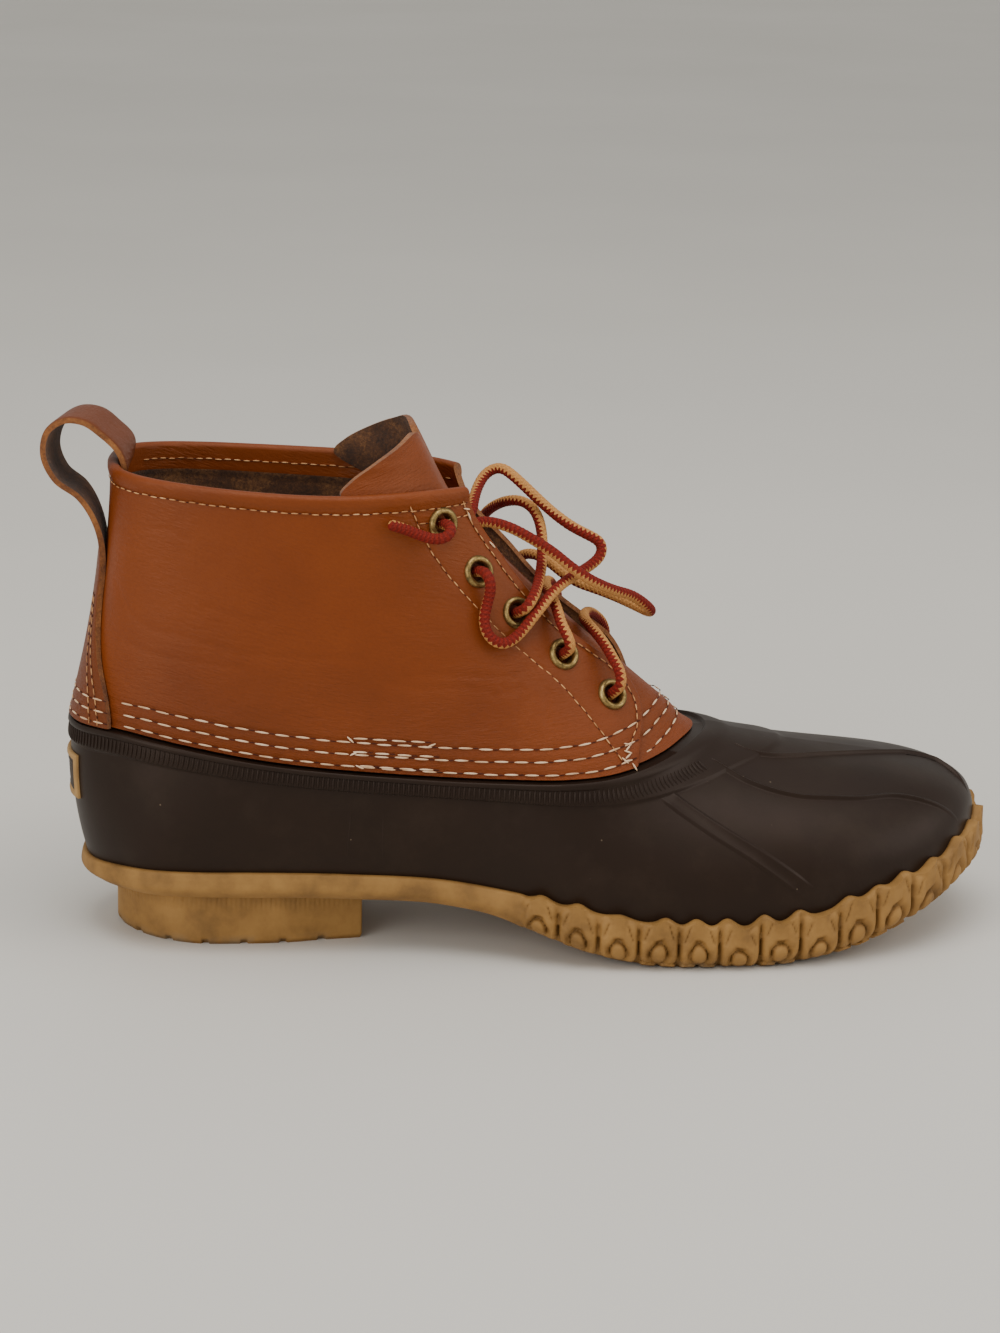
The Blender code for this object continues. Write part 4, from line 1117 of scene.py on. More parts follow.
def heel_block():
    """Level rings round the heel, from the floor up into the sole, with ribs and notches in the wall."""
    rows = np.array(HEEL_LINE)
    turn = np.linspace(0, math.pi, 2001)
    share = (1 - np.cos(turn)) / 2
    wide = flow(turn, np.arccos(1 - 2 * rows[:, 0]), rows[:, 1]) * BALL_WIDTH
    wide[0] = 0.0
    near = np.stack([HEEL_BACK - HEEL_SEAT + share * HEEL_LENGTH, wide, 0 * wide], -1)
    breast = np.stack([np.full(90, near[-1, 0]), np.linspace(wide[-1], 0.0, 91)[1:], np.zeros(90)], -1)
    line = even_steps(np.concatenate([near, breast]), HEEL_STEP)
    line = np.concatenate([line, (line * [1, -1, 1])[-2:0:-1]])
    along = np.roll(line, -1, axis=0) - np.roll(line, 1, axis=0)
    out = unit(np.stack([along[:, 1], -along[:, 0], 0 * along[:, 0]], -1))
    out *= np.sign((out * line).sum())
    run = run_along(line)
    curved = line[:, 0] < near[-1, 0] - 0.002
    rings = []
    for z in HEEL_LEVELS:
        ribs = RIB_DEPTH * np.abs(np.sin(math.pi * run / RIB_PITCH)) * smooth(0.0105, 0.0135, z) * curved
        notch = lump((run + 0.004) % NOTCH_PITCH, NOTCH_PITCH / 2, NOTCH_HALF, 0.3)
        notch = notch * (1 - smooth(0.0010, 0.0018, z))
        push = ribs - WORN * (1 - smooth(0.0, 0.0012, z)) - NOTCH_DEPTH * notch * curved
        rings.append(line + out * np.broadcast_to(push, run.shape)[:, None] + [0, 0, z])
    count = len(line)
    faces = ring_faces(len(rings), count)
    faces += strip_faces(0, count) + strip_faces((len(rings) - 1) * count, count)
    return mesh_object("heel_block", np.concatenate(rings), faces)


heel = heel_block()
heel.data.materials.append(crepe)
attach(heel, "root")


# Insole: a flat leather-covered board on the tub's floor, cut to the foot's shape. Lies loose inside.
INSOLE_THICK = 0.0035
INSOLE_INSET = 0.0085
INSOLE_BEVEL = 0.0006
INSOLE_ROUND = 180


def insole_board():
    """A flat board with bevelled edges, from four rings of points."""
    angle = even_places(sole_line, INSOLE_ROUND)
    count = len(angle)
    floor = underside(angle) + SOLE_WEB + RUBBER_WALL + 2 * CURVE_GAP
    rings = []
    levels = (0.0, INSOLE_BEVEL, INSOLE_THICK - INSOLE_BEVEL, INSOLE_THICK)
    for push, rise in zip((INSOLE_BEVEL, 0.0, 0.0, INSOLE_BEVEL), levels):
        rings.append(pushed(sole_line, angle, -INSOLE_INSET - push, floor + rise))
    faces = ring_faces(4, count) + strip_faces(0, count) + strip_faces(3 * count, count)
    return mesh_object("insole_board", np.concatenate(rings), faces)


def suede_finish(name, light, mean, dark, scale=1.0):
    """Napped leather: matte and mottled, with short fibres."""
    material, tree, shader = new_finish(name, roughness=0.95, sheen_weight=0.10, sheen_roughness=0.6)
    place = place_on(tree)
    patch = noise(tree, place, 60.0 * scale, 5.0, 0.7)
    fibre = noise(tree, place, 950.0 * scale, 4.0, 0.75)
    blend = math_node(tree, "ADD", times(tree, patch, 0.6), times(tree, fibre, 0.4))
    feed(tree, shader, "Base Color", ramp(tree, blend, (0.36, dark), (0.50, mean), (0.66, light)))
    bump(tree, shader, fibre, 0.0005, 0.8)
    bump(tree, shader, noise(tree, place, 260.0 * scale, 3.0), 0.0006, 0.4)
    return material


footbed = suede_finish("footbed_leather", paint(146, 100, 62), paint(118, 78, 46), paint(86, 54, 32), 0.7)
board = insole_board()
board.data.materials.append(footbed)
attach(board, "root")
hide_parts("insole")


# Leather quarters: one thick piece of smooth tan leather round the heel, from facing to facing. Its top
# is turned over and sewn as a rolled collar, its foot is sewn into the rubber, and its back is suede.
COLLAR_ROLL = 0.0008
FOLD_THICK = 0.0008
FOLD_FOOT = 0.905
LEDGE_GAP = 0.0008
# The facing's edge. Columns: height along the shaft, place round the boot in degrees.
FACING = [
    (0.00, 122.5), (0.10, 133.5), (0.18, 144.7), (0.25, 150.0), (0.32, 150.0), (0.39, 146.3),
    (0.47, 141.8), (0.57, 139.0), (0.68, 136.9), (0.76, 135.3), (0.83, 132.2), (0.90, 128.1),
    (1.00, 123.8),
]
# Eyelets. Columns: height along the shaft, degrees back from the facing's edge.
EYELETS = [(0.903, 26.2), (0.737, 19.7), (0.579, 14.2), (0.414, 13.9), (0.248, 14.0)]
HOLE = 0.0042
# The free edge of the inner facing curls out, and the leather is this long round from its middle to it.
FLARE = 0.0034
FLARE_WIDTH = 0.0062
HALF_GIRTH = 0.17
EDGE_ROUND = 0.0006
# The sheet turns over at the collar from this height along the shaft up.
ROLL_START = 0.985
# Seams on each side, as places: height along the shaft, degrees round the boot.
ROW_LOW = [
    (0.034, 0), (0.034, 60), (0.032, 100), (0.036, 120), (0.046, 134), (0.062, 147), (0.080, 166),
    (0.084, 180),
]
ROW_MIDDLE = [
    (0.090, 0), (0.090, 60), (0.088, 100), (0.089, 120), (0.095, 134), (0.108, 147), (0.122, 163),
    (0.126, 180),
]
ROW_TOP = [
    (0.146, 0), (0.146, 60), (0.140, 100), (0.136, 120), (0.142, 134), (0.150, 147), (0.160, 161),
    (0.164, 180),
]
HEAVY_ROWS = (ROW_LOW, ROW_MIDDLE, ROW_TOP)
ROW_COLLAR = [(0.949, 0), (0.949, 40), (0.949, 80), (0.949, 122)]
ROW_BEHIND = [
    (0.968, 86), (0.900, 89.5), (0.833, 93.5), (0.750, 99.8), (0.665, 106.2), (0.570, 111.8),
    (0.478, 116.2), (0.400, 119.6), (0.335, 121.6), (0.230, 122.0), (0.122, 121.2), (0.043, 120.2),
]
ROW_BOX = [(0.912, 89.0), (0.912, 100.0), (0.912, 110.0), (0.912, 122.0)]
# Creases on each side, in the same columns: deep ones where the boot bends, and shallow ones.
FLEX_CREASES = [
    [(0.46, 121.0), (0.44, 117.0), (0.42, 112.7), (0.40, 107.7), (0.38, 102.2)],
    [(0.43, 121.0), (0.41, 117.2), (0.39, 112.7), (0.37, 106.8), (0.35, 98.5)],
    [(0.42, 115.8), (0.41, 111.2), (0.41, 105.2), (0.42, 96.2)],
    [(0.36, 108.2), (0.31, 104.0), (0.25, 100.5), (0.18, 97.7)],
    [(0.33, 115.7), (0.29, 111.7), (0.23, 108.2)],
]
LOW_CREASES = [
    [(0.42, 95.7), (0.43, 85.8), (0.42, 77.0)],
    [(0.37, 97.3), (0.38, 89.5), (0.38, 81.3), (0.39, 73.5)],
    [(0.82, 10.5), (0.84, 18.5), (0.85, 25.8), (0.83, 31.3)],
    [(0.64, 12.2), (0.55, 18.3), (0.49, 24.8), (0.48, 33.0), (0.46, 43.8), (0.47, 54.0), (0.48, 68.0)],
    [(0.42, 18.7), (0.39, 26.0), (0.39, 34.5), (0.40, 44.2)],
    [(0.61, 36.7), (0.59, 43.0), (0.59, 49.2)],
]


def facing(t):
    """Where round the boot the facing's edge is, at a height along the shaft."""
    rows = np.array(FACING)
    return np.radians(flow(t, rows[:, 0], rows[:, 1]))


def near_line(points, line, width):
    """1 on a line and falling softly to 0 beside it."""
    flat = points.reshape(-1, 3)
    nearest = np.full(len(flat), 1.0)
    for start in range(0, len(line), 40):
        part = line[start : start + 40]
        gap = np.linalg.norm(flat[:, None] - part[None], axis=2).min(axis=1)
        nearest = np.minimum(nearest, gap)
    return np.exp(-((nearest / width) ** 2)).reshape(points.shape[:-1])


def facing_row(distance, low, high):
    """A seam that keeps its distance from the facing's edge."""
    rows = []
    for t in np.linspace(high, low, 24):
        step = np.linalg.norm(shaft(facing(t) + 0.01, t) - shaft(facing(t), t)) / 0.01
        rows.append((t, math.degrees(facing(t) - distance / step)))
    return rows


ROW_EDGE = facing_row(0.0032, 0.115, 0.962) + [(0.100, 128.6), (0.085, 126.6)]
GROOVE_STEP = 0.0015
# What is pressed into the leather's face. Columns: lines, depth, width of the groove.
GROOVES = [
    (FLEX_CREASES, 0.00042, 0.0010),
    (FLEX_CREASES, -0.00010, 0.0030),
    (LOW_CREASES, 0.00020, 0.0012),
    (HEAVY_ROWS, 0.00030, 0.0010),
    ((ROW_COLLAR, ROW_BEHIND, ROW_EDGE, ROW_BOX), 0.00022, 0.0008),
]


def eyelet_seat(row, side):
    """The eyelet's middle on the leather's face, and the direction out of it."""
    t, setback = EYELETS[row]
    angle = side * (facing(t) - math.radians(setback))
    foot = raised(shaft, angle, t, 0.0)
    tip_place = raised(shaft, angle, t, 1.0)
    return foot, tip_place - foot


def leather_map(grid, middle):
    """A map in centimetres that follows the leather: round the boot, and up it."""
    across = np.linalg.norm(np.diff(grid, axis=1), axis=2)
    u = np.concatenate([np.zeros((len(grid), 1)), np.cumsum(across, axis=1)], axis=1)
    u -= u[:, middle][:, None]
    up = np.linalg.norm(np.diff(grid, axis=0), axis=2)
    v = np.concatenate([np.zeros((1, grid.shape[1])), np.cumsum(up, axis=0)], axis=0)
    return np.stack([u, v], -1) * 100


def edge_flare(angle, t):
    """How far the inner facing's free edge curls out from the shaft."""
    from_edge = (1 - angle / facing(t)) * HALF_GIRTH
    lift = FLARE * (1 - smooth(0.0, FLARE_WIDTH, from_edge))
    return lift * smooth(0.20, 0.34, t) * (1 - smooth(0.66, 0.86, t))


def quarters_sheet():
    """The leather round the heel, between its grooved face and its flesh side, with the eyelets' holes."""
    share = np.linspace(-1, 1, 401)
    share = share + 0.018 * np.sin(math.pi * share)
    roll_height = 1 - ROLL_START
    roll_rows = ROLL_START + roll_height * np.sin(np.linspace(0.2, math.pi / 2, 7))
    rows = np.concatenate([np.linspace(0.004, ROLL_START, 98), roll_rows])
    t = np.broadcast_to(rows[:, None], (len(rows), len(share)))
    angle = share[None, :] * facing(rows)[:, None]
    skin = raised(shaft, angle, t, 0.0)
    roll = COLLAR_ROLL * smooth(0.952, 0.972, t)
    fold = FOLD_THICK * smooth(FOLD_FOOT - 0.006, FOLD_FOOT + 0.002, t)
    turn_over = np.cos(np.arcsin(np.clip((t - ROLL_START) / roll_height, 0, 1)))
    half = (LEATHER + roll + fold) / 2
    middle = (roll - LEATHER - fold) / 2
    outer = np.where(t > ROLL_START, middle + half * turn_over, roll)
    inner = np.where(t > ROLL_START, middle - half * turn_over, -LEATHER - fold)
    outer = outer + 0.0004 * np.sin(3.1 * angle + 1.3) * np.sin(math.pi * np.clip(t / 0.95, 0, 1))
    for side in (-1, 1):
        for lines, depth, width in GROOVES:
            for groove in lines:
                line, _ = surface_path(shaft, groove, 0.0, side, GROOVE_STEP)
                outer = outer - depth * near_line(skin, line, width)
    outer = outer - 0.00045 * np.exp(-(1 - np.abs(share)) * HALF_GIRTH / EDGE_ROUND)[None, :]
    lifted = edge_flare(angle, t)
    outer = outer + lifted
    inner = inner + lifted
    top = raised(shaft, angle, t, outer)
    under = raised(shaft, angle, t, inner)
    for sheet in (top, under):
        sheet[0][:, 2] = rubber_line(angle[0])[:, 2] + LEDGE_GAP
    centres = (skin[:-1, :-1] + skin[1:, 1:]) / 2
    holes = np.zeros(centres.shape[:2], bool)
    for side in (-1, 1):
        for row in range(len(EYELETS)):
            seat, _ = eyelet_seat(row, side)
            holes |= np.linalg.norm(centres - seat, axis=2) < HOLE
    fold_row = int(np.searchsorted(rows, FOLD_FOOT))
    return grid_slab("leather_quarters", top, under, None, leather_map(skin, 200), holes, fold_row)


def leather_finish(name, shade):
    """Smooth oiled leather: even tan, finer and paler where it is stretched, with fine level creases."""
    material, tree, shader = new_finish(name, specular_ior_level=0.34, specular_tint=(1.0, 0.89, 0.72, 1.0))
    surface = place_on(tree, "surface")
    place = place_on(tree)
    broad = noise(tree, place, 16.0, 4.0, 0.6)
    # shade scales every tone; below 1 it makes a darker copy of the leather, used as painted shade on the
    # strap.
    mottle, dark, mean, light = (
        paint(*(np.array(tone) * shade)) for tone in ((90, 36, 4), (108, 45, 5), (118, 51, 8), (127, 57, 11))
    )
    tan = ramp(tree, broad, (0.30, dark), (0.50, mean), (0.72, light))
    fine = noise(tree, surface, 9.0, 6.0, 0.7)
    mottled = mix(tree, ramp(tree, fine, (0.40, 0.0), (0.80, 0.30)), tan, mottle)
    streak = noise(tree, stretched(tree, surface, (0.7, 5.5, 1.0)), 3.2, 5.0, 0.7)
    creased = ramp(tree, streak, (0.34, 1.0), (0.44, 0.0))
    height = node(tree, "ShaderNodeSeparateXYZ", {0: surface}).outputs[1]
    low = ramp(tree, times(tree, height, 0.1), (0.05, 1.0), (0.50, 0.15), (0.9, 0.0))
    # The colour is darker along the fine level creases, most towards the foot of the leather.
    darker_low_creases = times(tree, creased, low)
    feed(tree, shader, "Base Color", mix(tree, times(tree, darker_low_creases, 0.40), mottled, paint(76, 29, 4)))
    feed(tree, shader, "Roughness", ramp(tree, fine, (0.3, 0.42), (0.7, 0.58)))
    pebbled = {"Vector": surface, "Scale": 13.0}
    cells = node(tree, "ShaderNodeTexVoronoi", pebbled, feature="DISTANCE_TO_EDGE")
    grain = ramp(tree, cells.outputs["Distance"], (0.0, 0.0), (0.20, 1.0))
    bump(tree, shader, grain, 0.00004, 0.45)
    bump(tree, shader, times(tree, streak, low), 0.0007, 0.55)
    bump(tree, shader, noise(tree, surface, 1.3, 3.0), 0.0012, 0.25)
    patch = ramp(tree, noise(tree, surface, 0.35, 2.0), (0.38, 0.15), (0.60, 1.0))
    wrinkle = noise(tree, stretched(tree, surface, (0.9, 3.8, 1.0)), 2.6, 3.0, 0.6)
    bump(tree, shader, times(tree, wrinkle, patch), 0.0007, 0.5)
    return material


smooth_leather = leather_finish("smooth_leather", 1.0)
suede_back = suede_finish("suede_back", paint(134, 88, 46), paint(78, 45, 19), paint(36, 18, 7))
cut_edge = suede_finish("cut_edge", paint(166, 108, 56), paint(128, 76, 34), paint(84, 44, 18), 1.3)
quarters = quarters_sheet()
for finish in (smooth_leather, suede_back, cut_edge):
    quarters.data.materials.append(finish)
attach(quarters, "root")
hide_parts("upper_quarters")


# Tongue: one soft leather sheet from the rubber edge up under the facings. Its foot is the apron that
# shows in front of them, and its free top stands above the collar, cupped backwards. Sewn at its foot.
TONGUE_SINK = 0.0095
TONGUE_RISE = 0.0185
TONGUE_LEAN = 0.0100
TONGUE_SKEW = 0.0040
# Columns: height along the shaft, rise above the collar, half spread in degrees, depth behind the facings.
TONGUE = [
    (0.004, 0.00, 61.0, 0.00), (0.060, 0.00, 61.0, 0.00), (0.120, 0.00, 61.0, 0.02),
    (0.190, 0.00, 61.0, 0.14), (0.270, 0.00, 62.0, 0.26), (0.360, 0.00, 65.0, 0.38),
    (0.480, 0.00, 70.0, 0.55), (0.620, 0.00, 78.0, 0.72), (0.780, 0.00, 88.0, 0.86),
    (0.920, 0.00, 101.0, 0.96), (0.990, 0.00, 115.0, 1.00), (0.990, 0.25, 110.0, 1.00),
    (0.990, 0.50, 100.0, 1.00), (0.990, 0.75, 83.0, 1.00), (0.990, 0.92, 60.0, 1.00),
    (0.990, 1.00, 34.0, 1.00),
]
# Columns: height along the shaft, degrees round the boot.
APRON_CREASES = [
    [(0.27, 204.0), (0.242, 207.5), (0.20, 212.0), (0.147, 218.0)],
    [(0.29, 156.0), (0.25, 152.0), (0.20, 147.0)],
    [(0.35, 172.0), (0.33, 180.0), (0.34, 188.0)],
]


def refined(rows, count):
    """A few rows of points made many, on smooth curves through them."""
    rows = np.stack(rows)
    middle = rows[:, rows.shape[1] // 2]
    run = run_along(middle)
    run = run + np.arange(len(run)) * 1e-6
    at = np.linspace(0, run[-1], count)
    weights = np.stack([flow(at, run, row) for row in np.eye(len(run))], -1)
    return np.einsum("kr,rcd->kcd", weights, rows)


def tongue_face(layer, across):
    """The tongue's face, or what lies a layer's thickness under it."""
    lifted = np.array([-TONGUE_LEAN, TONGUE_SKEW, TONGUE_RISE])
    rows = []
    for t, rise, spread, depth in TONGUE:
        angle = math.pi + across * math.radians(spread)
        hollow = 1 - (across * spread / max(spread, 95.0)) ** 2 if rise else 1 - across**2
        sink = LEATHER + CURVE_GAP + depth * TONGUE_SINK * hollow + layer
        rows.append(raised(shaft, angle, t, -sink) + rise * lifted)
    rows[0][:, 2] = rubber_line(math.pi + across * math.radians(TONGUE[0][2]))[:, 2] + LEDGE_GAP
    return refined(rows, 150)


def tongue_sheet():
    """The tongue between its two faces, with its creases and the grooves of the heavy seams."""
    across = np.linspace(-1, 1, 121)
    top, under = tongue_face(0.0, across), tongue_face(LEATHER, across)
    out = unit(top - under)
    rise = 0.0 * out[..., 0]
    for crease in APRON_CREASES:
        line, _ = surface_path(shaft, crease, -LEATHER - CURVE_GAP - 0.0015, 1, GROOVE_STEP)
        rise -= 0.00045 * near_line(top, line, 0.0013)
    for seam in HEAVY_ROWS:
        for side in (-1, 1):
            line, _ = surface_path(shaft, seam[4:], -LEATHER - CURVE_GAP, side, GROOVE_STEP)
            rise -= 0.00030 * near_line(top, line, 0.0010)
    top = top + out * rise[..., None]
    return grid_slab("leather_tongue", top, under, None, leather_map(top, 60))


tongue = tongue_sheet()
for finish in (smooth_leather, suede_back, cut_edge):
    tongue.data.materials.append(finish)
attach(tongue, "root")
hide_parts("tongue")


# Backstay and pull loop: one strap of the same leather, sewn up the back seam, turned over in a wide
# loop above the collar and sewn inside it. Smooth outside, suede inside, with cut edges.
LOOP_WIDTH = 0.0220
LOOP_RISE = 0.0135
LOOP_REACH = 0.0206
# On the shaft. Columns: height along the shaft, half width as a share of the strap's.
BACKSTAY = [
    (0.008, 2.04), (0.080, 1.98), (0.180, 1.84), (0.290, 1.60), (0.420, 1.30), (0.550, 1.06),
    (0.660, 1.00),
]
# Off it. Columns: place behind the collar and height above it, as shares of the loop's reach and rise,
# and the far edge's forward skew as a share of the strap's width.
LOOP_OVER = [
    (0.14, -1.87, 0.00), (0.47, -0.83, 0.05), (0.82, -0.42, 0.10), (1.00, 0.20, 0.15),
    (0.92, 0.75, 0.20), (0.67, 1.00, 0.22), (0.38, 0.96, 0.22), (0.11, 0.68, 0.20),
    (-0.17, 0.22, 0.16), (-0.24, -0.10, 0.06),
]
# Inside the collar: heights along the shaft.
LOOP_INSIDE = (0.955, 0.900, 0.850)


def strap_sheet():
    """The strap up the back, over the loop and down inside the collar, between its two faces."""
    across = np.linspace(-1, 1, 61)
    half = LOOP_WIDTH / 2
    rows = []
    for t, width in BACKSTAY:
        edge = place_at_side(shaft, t, width * half)
        rows.append(raised(shaft, across * edge, t, CURVE_GAP + LEATHER / 2))
    back = collar_line(np.zeros(1))[0]
    for reach, rise, skew in LOOP_OVER:
        x = back[0] - reach * LOOP_REACH + (across + 1) / 2 * skew * LOOP_WIDTH
        rows.append(np.stack([x, across * half, back[2] + rise * LOOP_RISE + 0 * across], -1))
    for t in LOOP_INSIDE:
        edge = place_at_side(shaft, t, half)
        rows.append(raised(shaft, across * edge, t, -CURVE_GAP - 1.5 * LEATHER))
    middle = refined(rows, 260)
    normal = unit(np.cross(np.gradient(middle, axis=1), np.gradient(middle, axis=0)))
    edge_drop = 0.00035 * np.exp(-(1 - np.abs(across)) * half / EDGE_ROUND)[None, :, None]
    top = middle - normal * (LEATHER / 2 - edge_drop)
    under = middle + normal * (LEATHER / 2)
    return grid_slab("leather_strap", top, under, None, leather_map(middle, 30))


strap = strap_sheet()
# The strap's smooth side is the same leather darkened to 0.86: painted shade for the top of the loop.
for finish in (leather_finish("strap_leather_painted_shade", 0.86), suede_back, cut_edge):
    strap.data.materials.append(finish)
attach(strap, "root")
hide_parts("backstay_loop")


# Seams: cream thread. Three heavy rows close the leather to the rubber all round, doubled where the
# sewing starts, and finer rows run along the collar, the facings, behind the eyelets and the backstay.
# Columns: distance from stitch to stitch, a stitch's length, the thread's width.
HEAVY = (0.0064, 0.0046, 0.00066)
FINE = (0.0032, 0.0023, 0.00044)
SWAY = 0.00012
# How far the strap's two seams on each side lie in from its edge.
STRAP_INSETS = (0.0026, 0.0052)
# How far off the shaft the seams lie on each piece.
ON_LEATHER = 0.00022
ON_APRON = -LEATHER - CURVE_GAP + ON_LEATHER
ON_STRAP = LEATHER + CURVE_GAP + 0.00025
# Stitches sewn twice where each heavy row starts. Columns as in the seams' tables.
DOUBLE_ROWS = [
    [(0.038, -65.0), (0.040, -71.0), (0.040, -78.0)],
    [(0.102, -64.0), (0.104, -71.0), (0.100, -79.0)],
    [(0.163, -64.5), (0.166, -71.0), (0.162, -78.0)],
]


def thread_finish(name, dark, mean, light):
    material, tree, shader = new_finish(name, roughness=0.8, specular_ior_level=0.3)
    place = place_on(tree)
    colour = ramp(tree, noise(tree, place, 180.0, 3.0), (0.3, dark), (0.55, mean), (0.8, light))
    feed(tree, shader, "Base Color", colour)
    bump(tree, shader, noise(tree, place, 1600.0, 2.0), 0.00015, 0.5)
    return material


cream = thread_finish("cream_thread", paint(186, 146, 110), paint(222, 190, 156), paint(240, 216, 188))
# Dark brown for the beads that are painted shade inside the needle holes.
hole_shade = thread_finish("needle_holes", paint(52, 18, 8), paint(66, 24, 10), paint(84, 34, 16))
tan_thread = thread_finish("tan_thread", paint(150, 100, 60), paint(204, 152, 102), paint(226, 186, 140))


def stitches_on(surface, rows, height, side, pitch):
    """Middles and directions of the stitches along a seam. They sway a little, as by hand."""
    path, out = surface_path(surface, rows, height, side, pitch)
    middles = (path[:-1] + path[1:]) / 2
    along = unit(path[1:] - path[:-1])
    out = (out[:-1] + out[1:]) / 2
    across = np.cross(out, along)
    sway = np.sin(np.arange(len(middles)) * 2.4 + side) * SWAY
    return middles + across * sway[:, None], along + across * sway[:, None] * 60, out


def sew(name, seams, kind, thread):
    """Stitches along the seams, and between them dark beads, painted shade for the holes that the needle
    left.
    """
    pitch, length, width = kind
    gathered = [stitches_on(*seam, pitch) for seam in seams]
    points, along, out = (np.concatenate(part) for part in zip(*gathered))
    made = beaded(name, points, along, out, (length, width, width * 0.8), thread)
    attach(made, "root")
    # Painted shade: a dark bead sunk between each pair of stitches, for the needle hole.
    spots = points + along * pitch / 2 - out * 0.0001
    hole = ((pitch - length) * 1.1, width * 0.62, 0.0003)
    hole_shade_beads = beaded(name + "_holes", spots, along, out, hole, hole_shade)
    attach(hole_shade_beads, "root")


def clipped(rows, low, high):
    """The part of a level row between two places round the boot."""
    rows = np.array(rows, float)
    places = np.linspace(low, high, 16)
    return [(float(flow(a, rows[:, 1], rows[:, 0])), float(a)) for a in places]


def on_facing(angle, t):
    """How far off the shaft a seam lies beside the facing's curled edge."""
    return ON_LEATHER + edge_flare(angle, t)


heavy_seams = []
for row, strap_end in zip(HEAVY_ROWS, (22.4, 21.6, 20.2)):
    facing_end = float(np.degrees(facing(row[3][0])))
    for side in (-1, 1):
        heavy_seams.append((shaft, clipped(row, strap_end + 1.2, facing_end - 2.0), ON_LEATHER, side))
        heavy_seams.append((shaft, clipped(row, facing_end + 2.5, 180.0), ON_APRON, side))
        heavy_seams.append((shaft, clipped(row, 0.0, strap_end - 1.5), ON_STRAP, side))
heavy_seams += [(shaft, row, ON_LEATHER + 0.0001, 1) for row in DOUBLE_ROWS]
sew("heavy_stitches", heavy_seams, HEAVY, cream)

fine_seams = []
for side in (-1, 1):
    for row in (ROW_BEHIND, ROW_EDGE, ROW_BOX):
        fine_seams.append((shaft, row, on_facing, side))
    fine_seams.append((shaft, clipped(ROW_COLLAR, 1.0, 121.0), ON_LEATHER + 0.0001, side))
    fine_seams.append((shaft, clipped(ROW_COLLAR, 16.0, 121.0), -LEATHER - FOLD_THICK - ON_LEATHER, side))
    for inset in STRAP_INSETS:
        row = [
            (t, math.degrees(place_at_side(shaft, t, width * LOOP_WIDTH / 2 - inset, 401)))
            for t, width in BACKSTAY[:6]
        ]
        fine_seams.append((shaft, row, ON_STRAP, side))
sew("fine_stitches", fine_seams, FINE, tan_thread)


# Bar tacks and knots: a few short stitches laid over each other, where a seam starts, ends or is pulled
# hard: at the foot of each facing, at the doubled stitches and at the collar's front corner.
TACK = (0.0030, 0.0006, 0.0006)
# Columns: height along the shaft, degrees round the boot, lean in degrees.
TACKS = [
    (0.092, 126.0, 30), (0.080, 125.0, -25), (0.068, 124.0, 35), (0.055, 123.0, -20), (0.044, 121.0, 60),
    (0.040, 121.8, 10), (0.012, 122.0, 80), (0.158, 64.4, 40), (0.096, 64.8, -30), (0.034, 65.5, 20),
    (0.152, 78.6, -25), (0.905, 121.0, 80), (0.930, 120.0, 20), (0.790, 131.5, 70),
]
tack_points, tack_along, tack_out = [], [], []
for side in (-1, 1):
    for t, degrees, lean_angle in TACKS:
        angle = side * math.radians(degrees)
        foot = raised(shaft, angle, t, ON_LEATHER + 0.0002)
        out = (raised(shaft, angle, t, 0.01) - raised(shaft, angle, t, 0.0)) / 0.01
        level_way = shaft(angle + 0.01, t) - shaft(angle - 0.01, t)
        level_way = level_way / np.linalg.norm(level_way)
        turn = math.radians(lean_angle) * side
        tack_points.append(foot)
        tack_out.append(out)
        tack_along.append(level_way * math.cos(turn) + np.cross(out, level_way) * math.sin(turn))
tacks = beaded("thread_tacks", tack_points, tack_along, tack_out, TACK, cream)
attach(tacks, "root")


# Eyelets: rolled rings of aged brass through the facings, five a side. Each has a crowned flange
# outside, a barrel and a clenched back.
EYELET_FLANGE = 0.0053
EYELET_HOLE = 0.0030
EYELET_CROWN = 0.0015
EYELET_SIDES = 44
# The ring's section, over its flange and down through its barrel. Columns: radius, height.
EYELET_SECTION = [
    (EYELET_FLANGE, 0.0001),
    (EYELET_FLANGE * 0.985, 0.0006),
    (EYELET_FLANGE * 0.93, 0.0011),
    (EYELET_FLANGE * 0.84, EYELET_CROWN),
    (EYELET_FLANGE * 0.74, EYELET_CROWN * 0.98),
    (EYELET_FLANGE * 0.66, EYELET_CROWN * 0.80),
    (EYELET_FLANGE * 0.60, EYELET_CROWN * 0.45),
    (EYELET_HOLE, 0.0),
    (EYELET_HOLE, -LEATHER - 0.0003),
    (EYELET_HOLE * 1.15, -LEATHER - 0.0009),
    (EYELET_HOLE * 1.45, -LEATHER - 0.0009),
    (EYELET_HOLE * 1.62, -LEATHER - 0.0003),
    (EYELET_HOLE * 1.62, -LEATHER + 0.0004),
    (EYELET_HOLE * 1.2, -LEATHER * 0.5),
]


def eyelet_ring(row, side):
    """One ring on its seat, square to the leather."""
    seat, way = eyelet_seat(row, side)
    turn_to = Vector(way).normalized().to_track_quat("Z", "Y").to_matrix()
    points = []
    for radius, height in EYELET_SECTION:
        for k in range(EYELET_SIDES):
            turn = 2 * math.pi * k / EYELET_SIDES
            spot = turn_to @ Vector((radius * math.cos(turn), radius * math.sin(turn), height))
            points.append(np.array(seat) + np.array(spot))
    faces = ring_faces(len(EYELET_SECTION), EYELET_SIDES)
    last = (len(EYELET_SECTION) - 1) * EYELET_SIDES
    nexts = [(k + 1) % EYELET_SIDES for k in range(EYELET_SIDES)]
    faces += [(last + k, last + n, n, k) for k, n in enumerate(nexts)]
    return np.array(points), faces


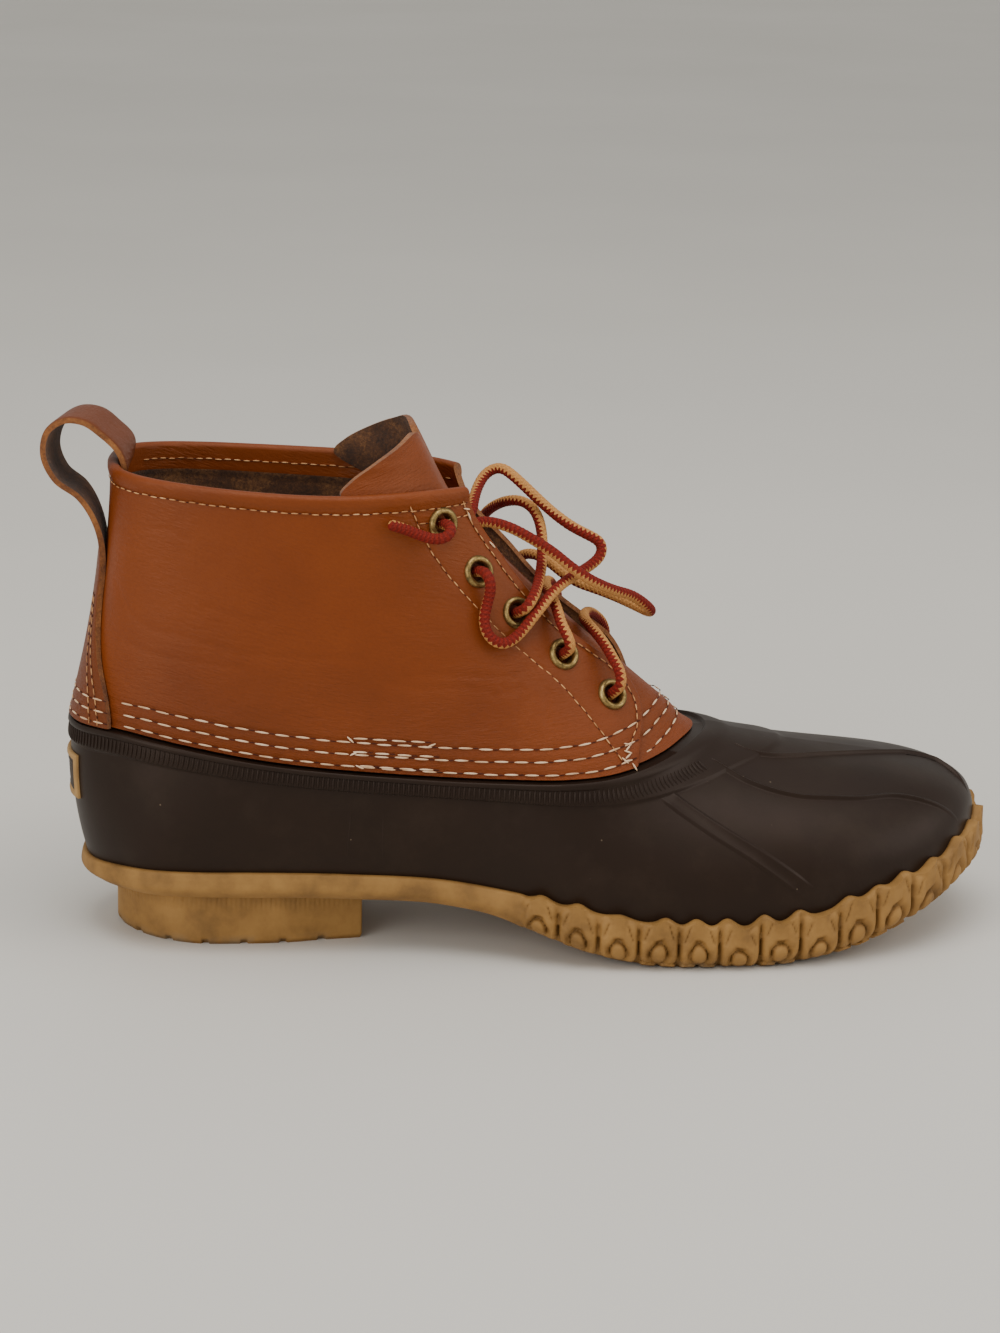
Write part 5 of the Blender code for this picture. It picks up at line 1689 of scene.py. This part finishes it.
def brass_finish():
    """Brass with dull dark patches and brighter worn ones."""
    material, tree, shader = new_finish("aged_brass", metallic=1.0)
    place = place_on(tree)
    patch = noise(tree, place, 420.0, 5.0, 0.7)
    dull, plain, bright = paint(86, 74, 48), paint(146, 122, 76), paint(188, 162, 106)
    feed(tree, shader, "Base Color", ramp(tree, patch, (0.32, dull), (0.50, plain), (0.70, bright)))
    feed(tree, shader, "Roughness", ramp(tree, patch, (0.3, 0.58), (0.75, 0.28)))
    bump(tree, shader, noise(tree, place, 1400.0, 3.0), 0.00008, 0.5)
    return material


brass = brass_finish()
for side, side_name in ((-1, "lateral"), (1, "medial")):
    for row in range(len(EYELETS)):
        number = str(row + 1)
        ring = joined("brass_ring_" + side_name + "_" + number, [eyelet_ring(row, side)])
        ring.data.materials.append(brass)
        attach(ring, "root")
        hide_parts("eyelet_" + side_name + "_" + number)


# Floor and light: a plain pale floor, a large soft light above and weaker ones at the sides. They are
# not part of the boot.
FLOOR_REACH = 6.0
ROOM_LIGHT = 0.92
# Columns: name, place, what it is aimed at, size, power, colour.
LIGHTS = [
    ("light_above", (0.15, -0.25, 1.5), (0.08, 0.0, 0.0), 1.3, 13.0, (1.0, 0.98, 0.95)),
    ("light_left", (-1.1, -1.2, 0.7), (0.05, 0.0, 0.06), 1.2, 13.0, (1.0, 0.98, 0.96)),
    ("light_right", (1.5, -0.5, 0.8), (0.15, 0.0, 0.06), 1.2, 8.0, (1.0, 0.98, 0.96)),
]


def floor_sheet():
    mesh = bpy.data.meshes.new("floor")
    corners = [(x * FLOOR_REACH, y * FLOOR_REACH, 0) for x, y in ((-1, -1), (1, -1), (1, 1), (-1, 1))]
    mesh.from_pydata(corners, [], [(0, 1, 2, 3)])
    material, tree, shader = new_finish("pale_floor", roughness=0.55)
    shade = noise(tree, place_on(tree), 2.0)
    tone = ramp(tree, shade, (0.3, paint(209, 206, 200)), (0.7, paint(215, 212, 206)))
    feed(tree, shader, "Base Color", tone)
    mesh.materials.append(material)
    return in_scene("floor", mesh)


floor = floor_sheet()


def soft_light(name, place, aim, size, power, colour):
    data = bpy.data.lights.new(name, "AREA")
    data.shape = "DISK"
    data.size = size
    data.energy = power
    data.color = colour
    way = Vector(aim) - Vector(place)
    turned = Matrix.Translation(place) @ way.to_track_quat("-Z", "Y").to_matrix().to_4x4()
    in_scene(name, data).matrix_world = turned


for light in LIGHTS:
    soft_light(*light)
world = bpy.data.worlds.new("room")
world.use_nodes = True
background = world.node_tree.nodes["Background"]
background.inputs["Color"].default_value = paint(214, 212, 206)
background.inputs["Strength"].default_value = ROOM_LIGHT
bpy.context.scene.world = world
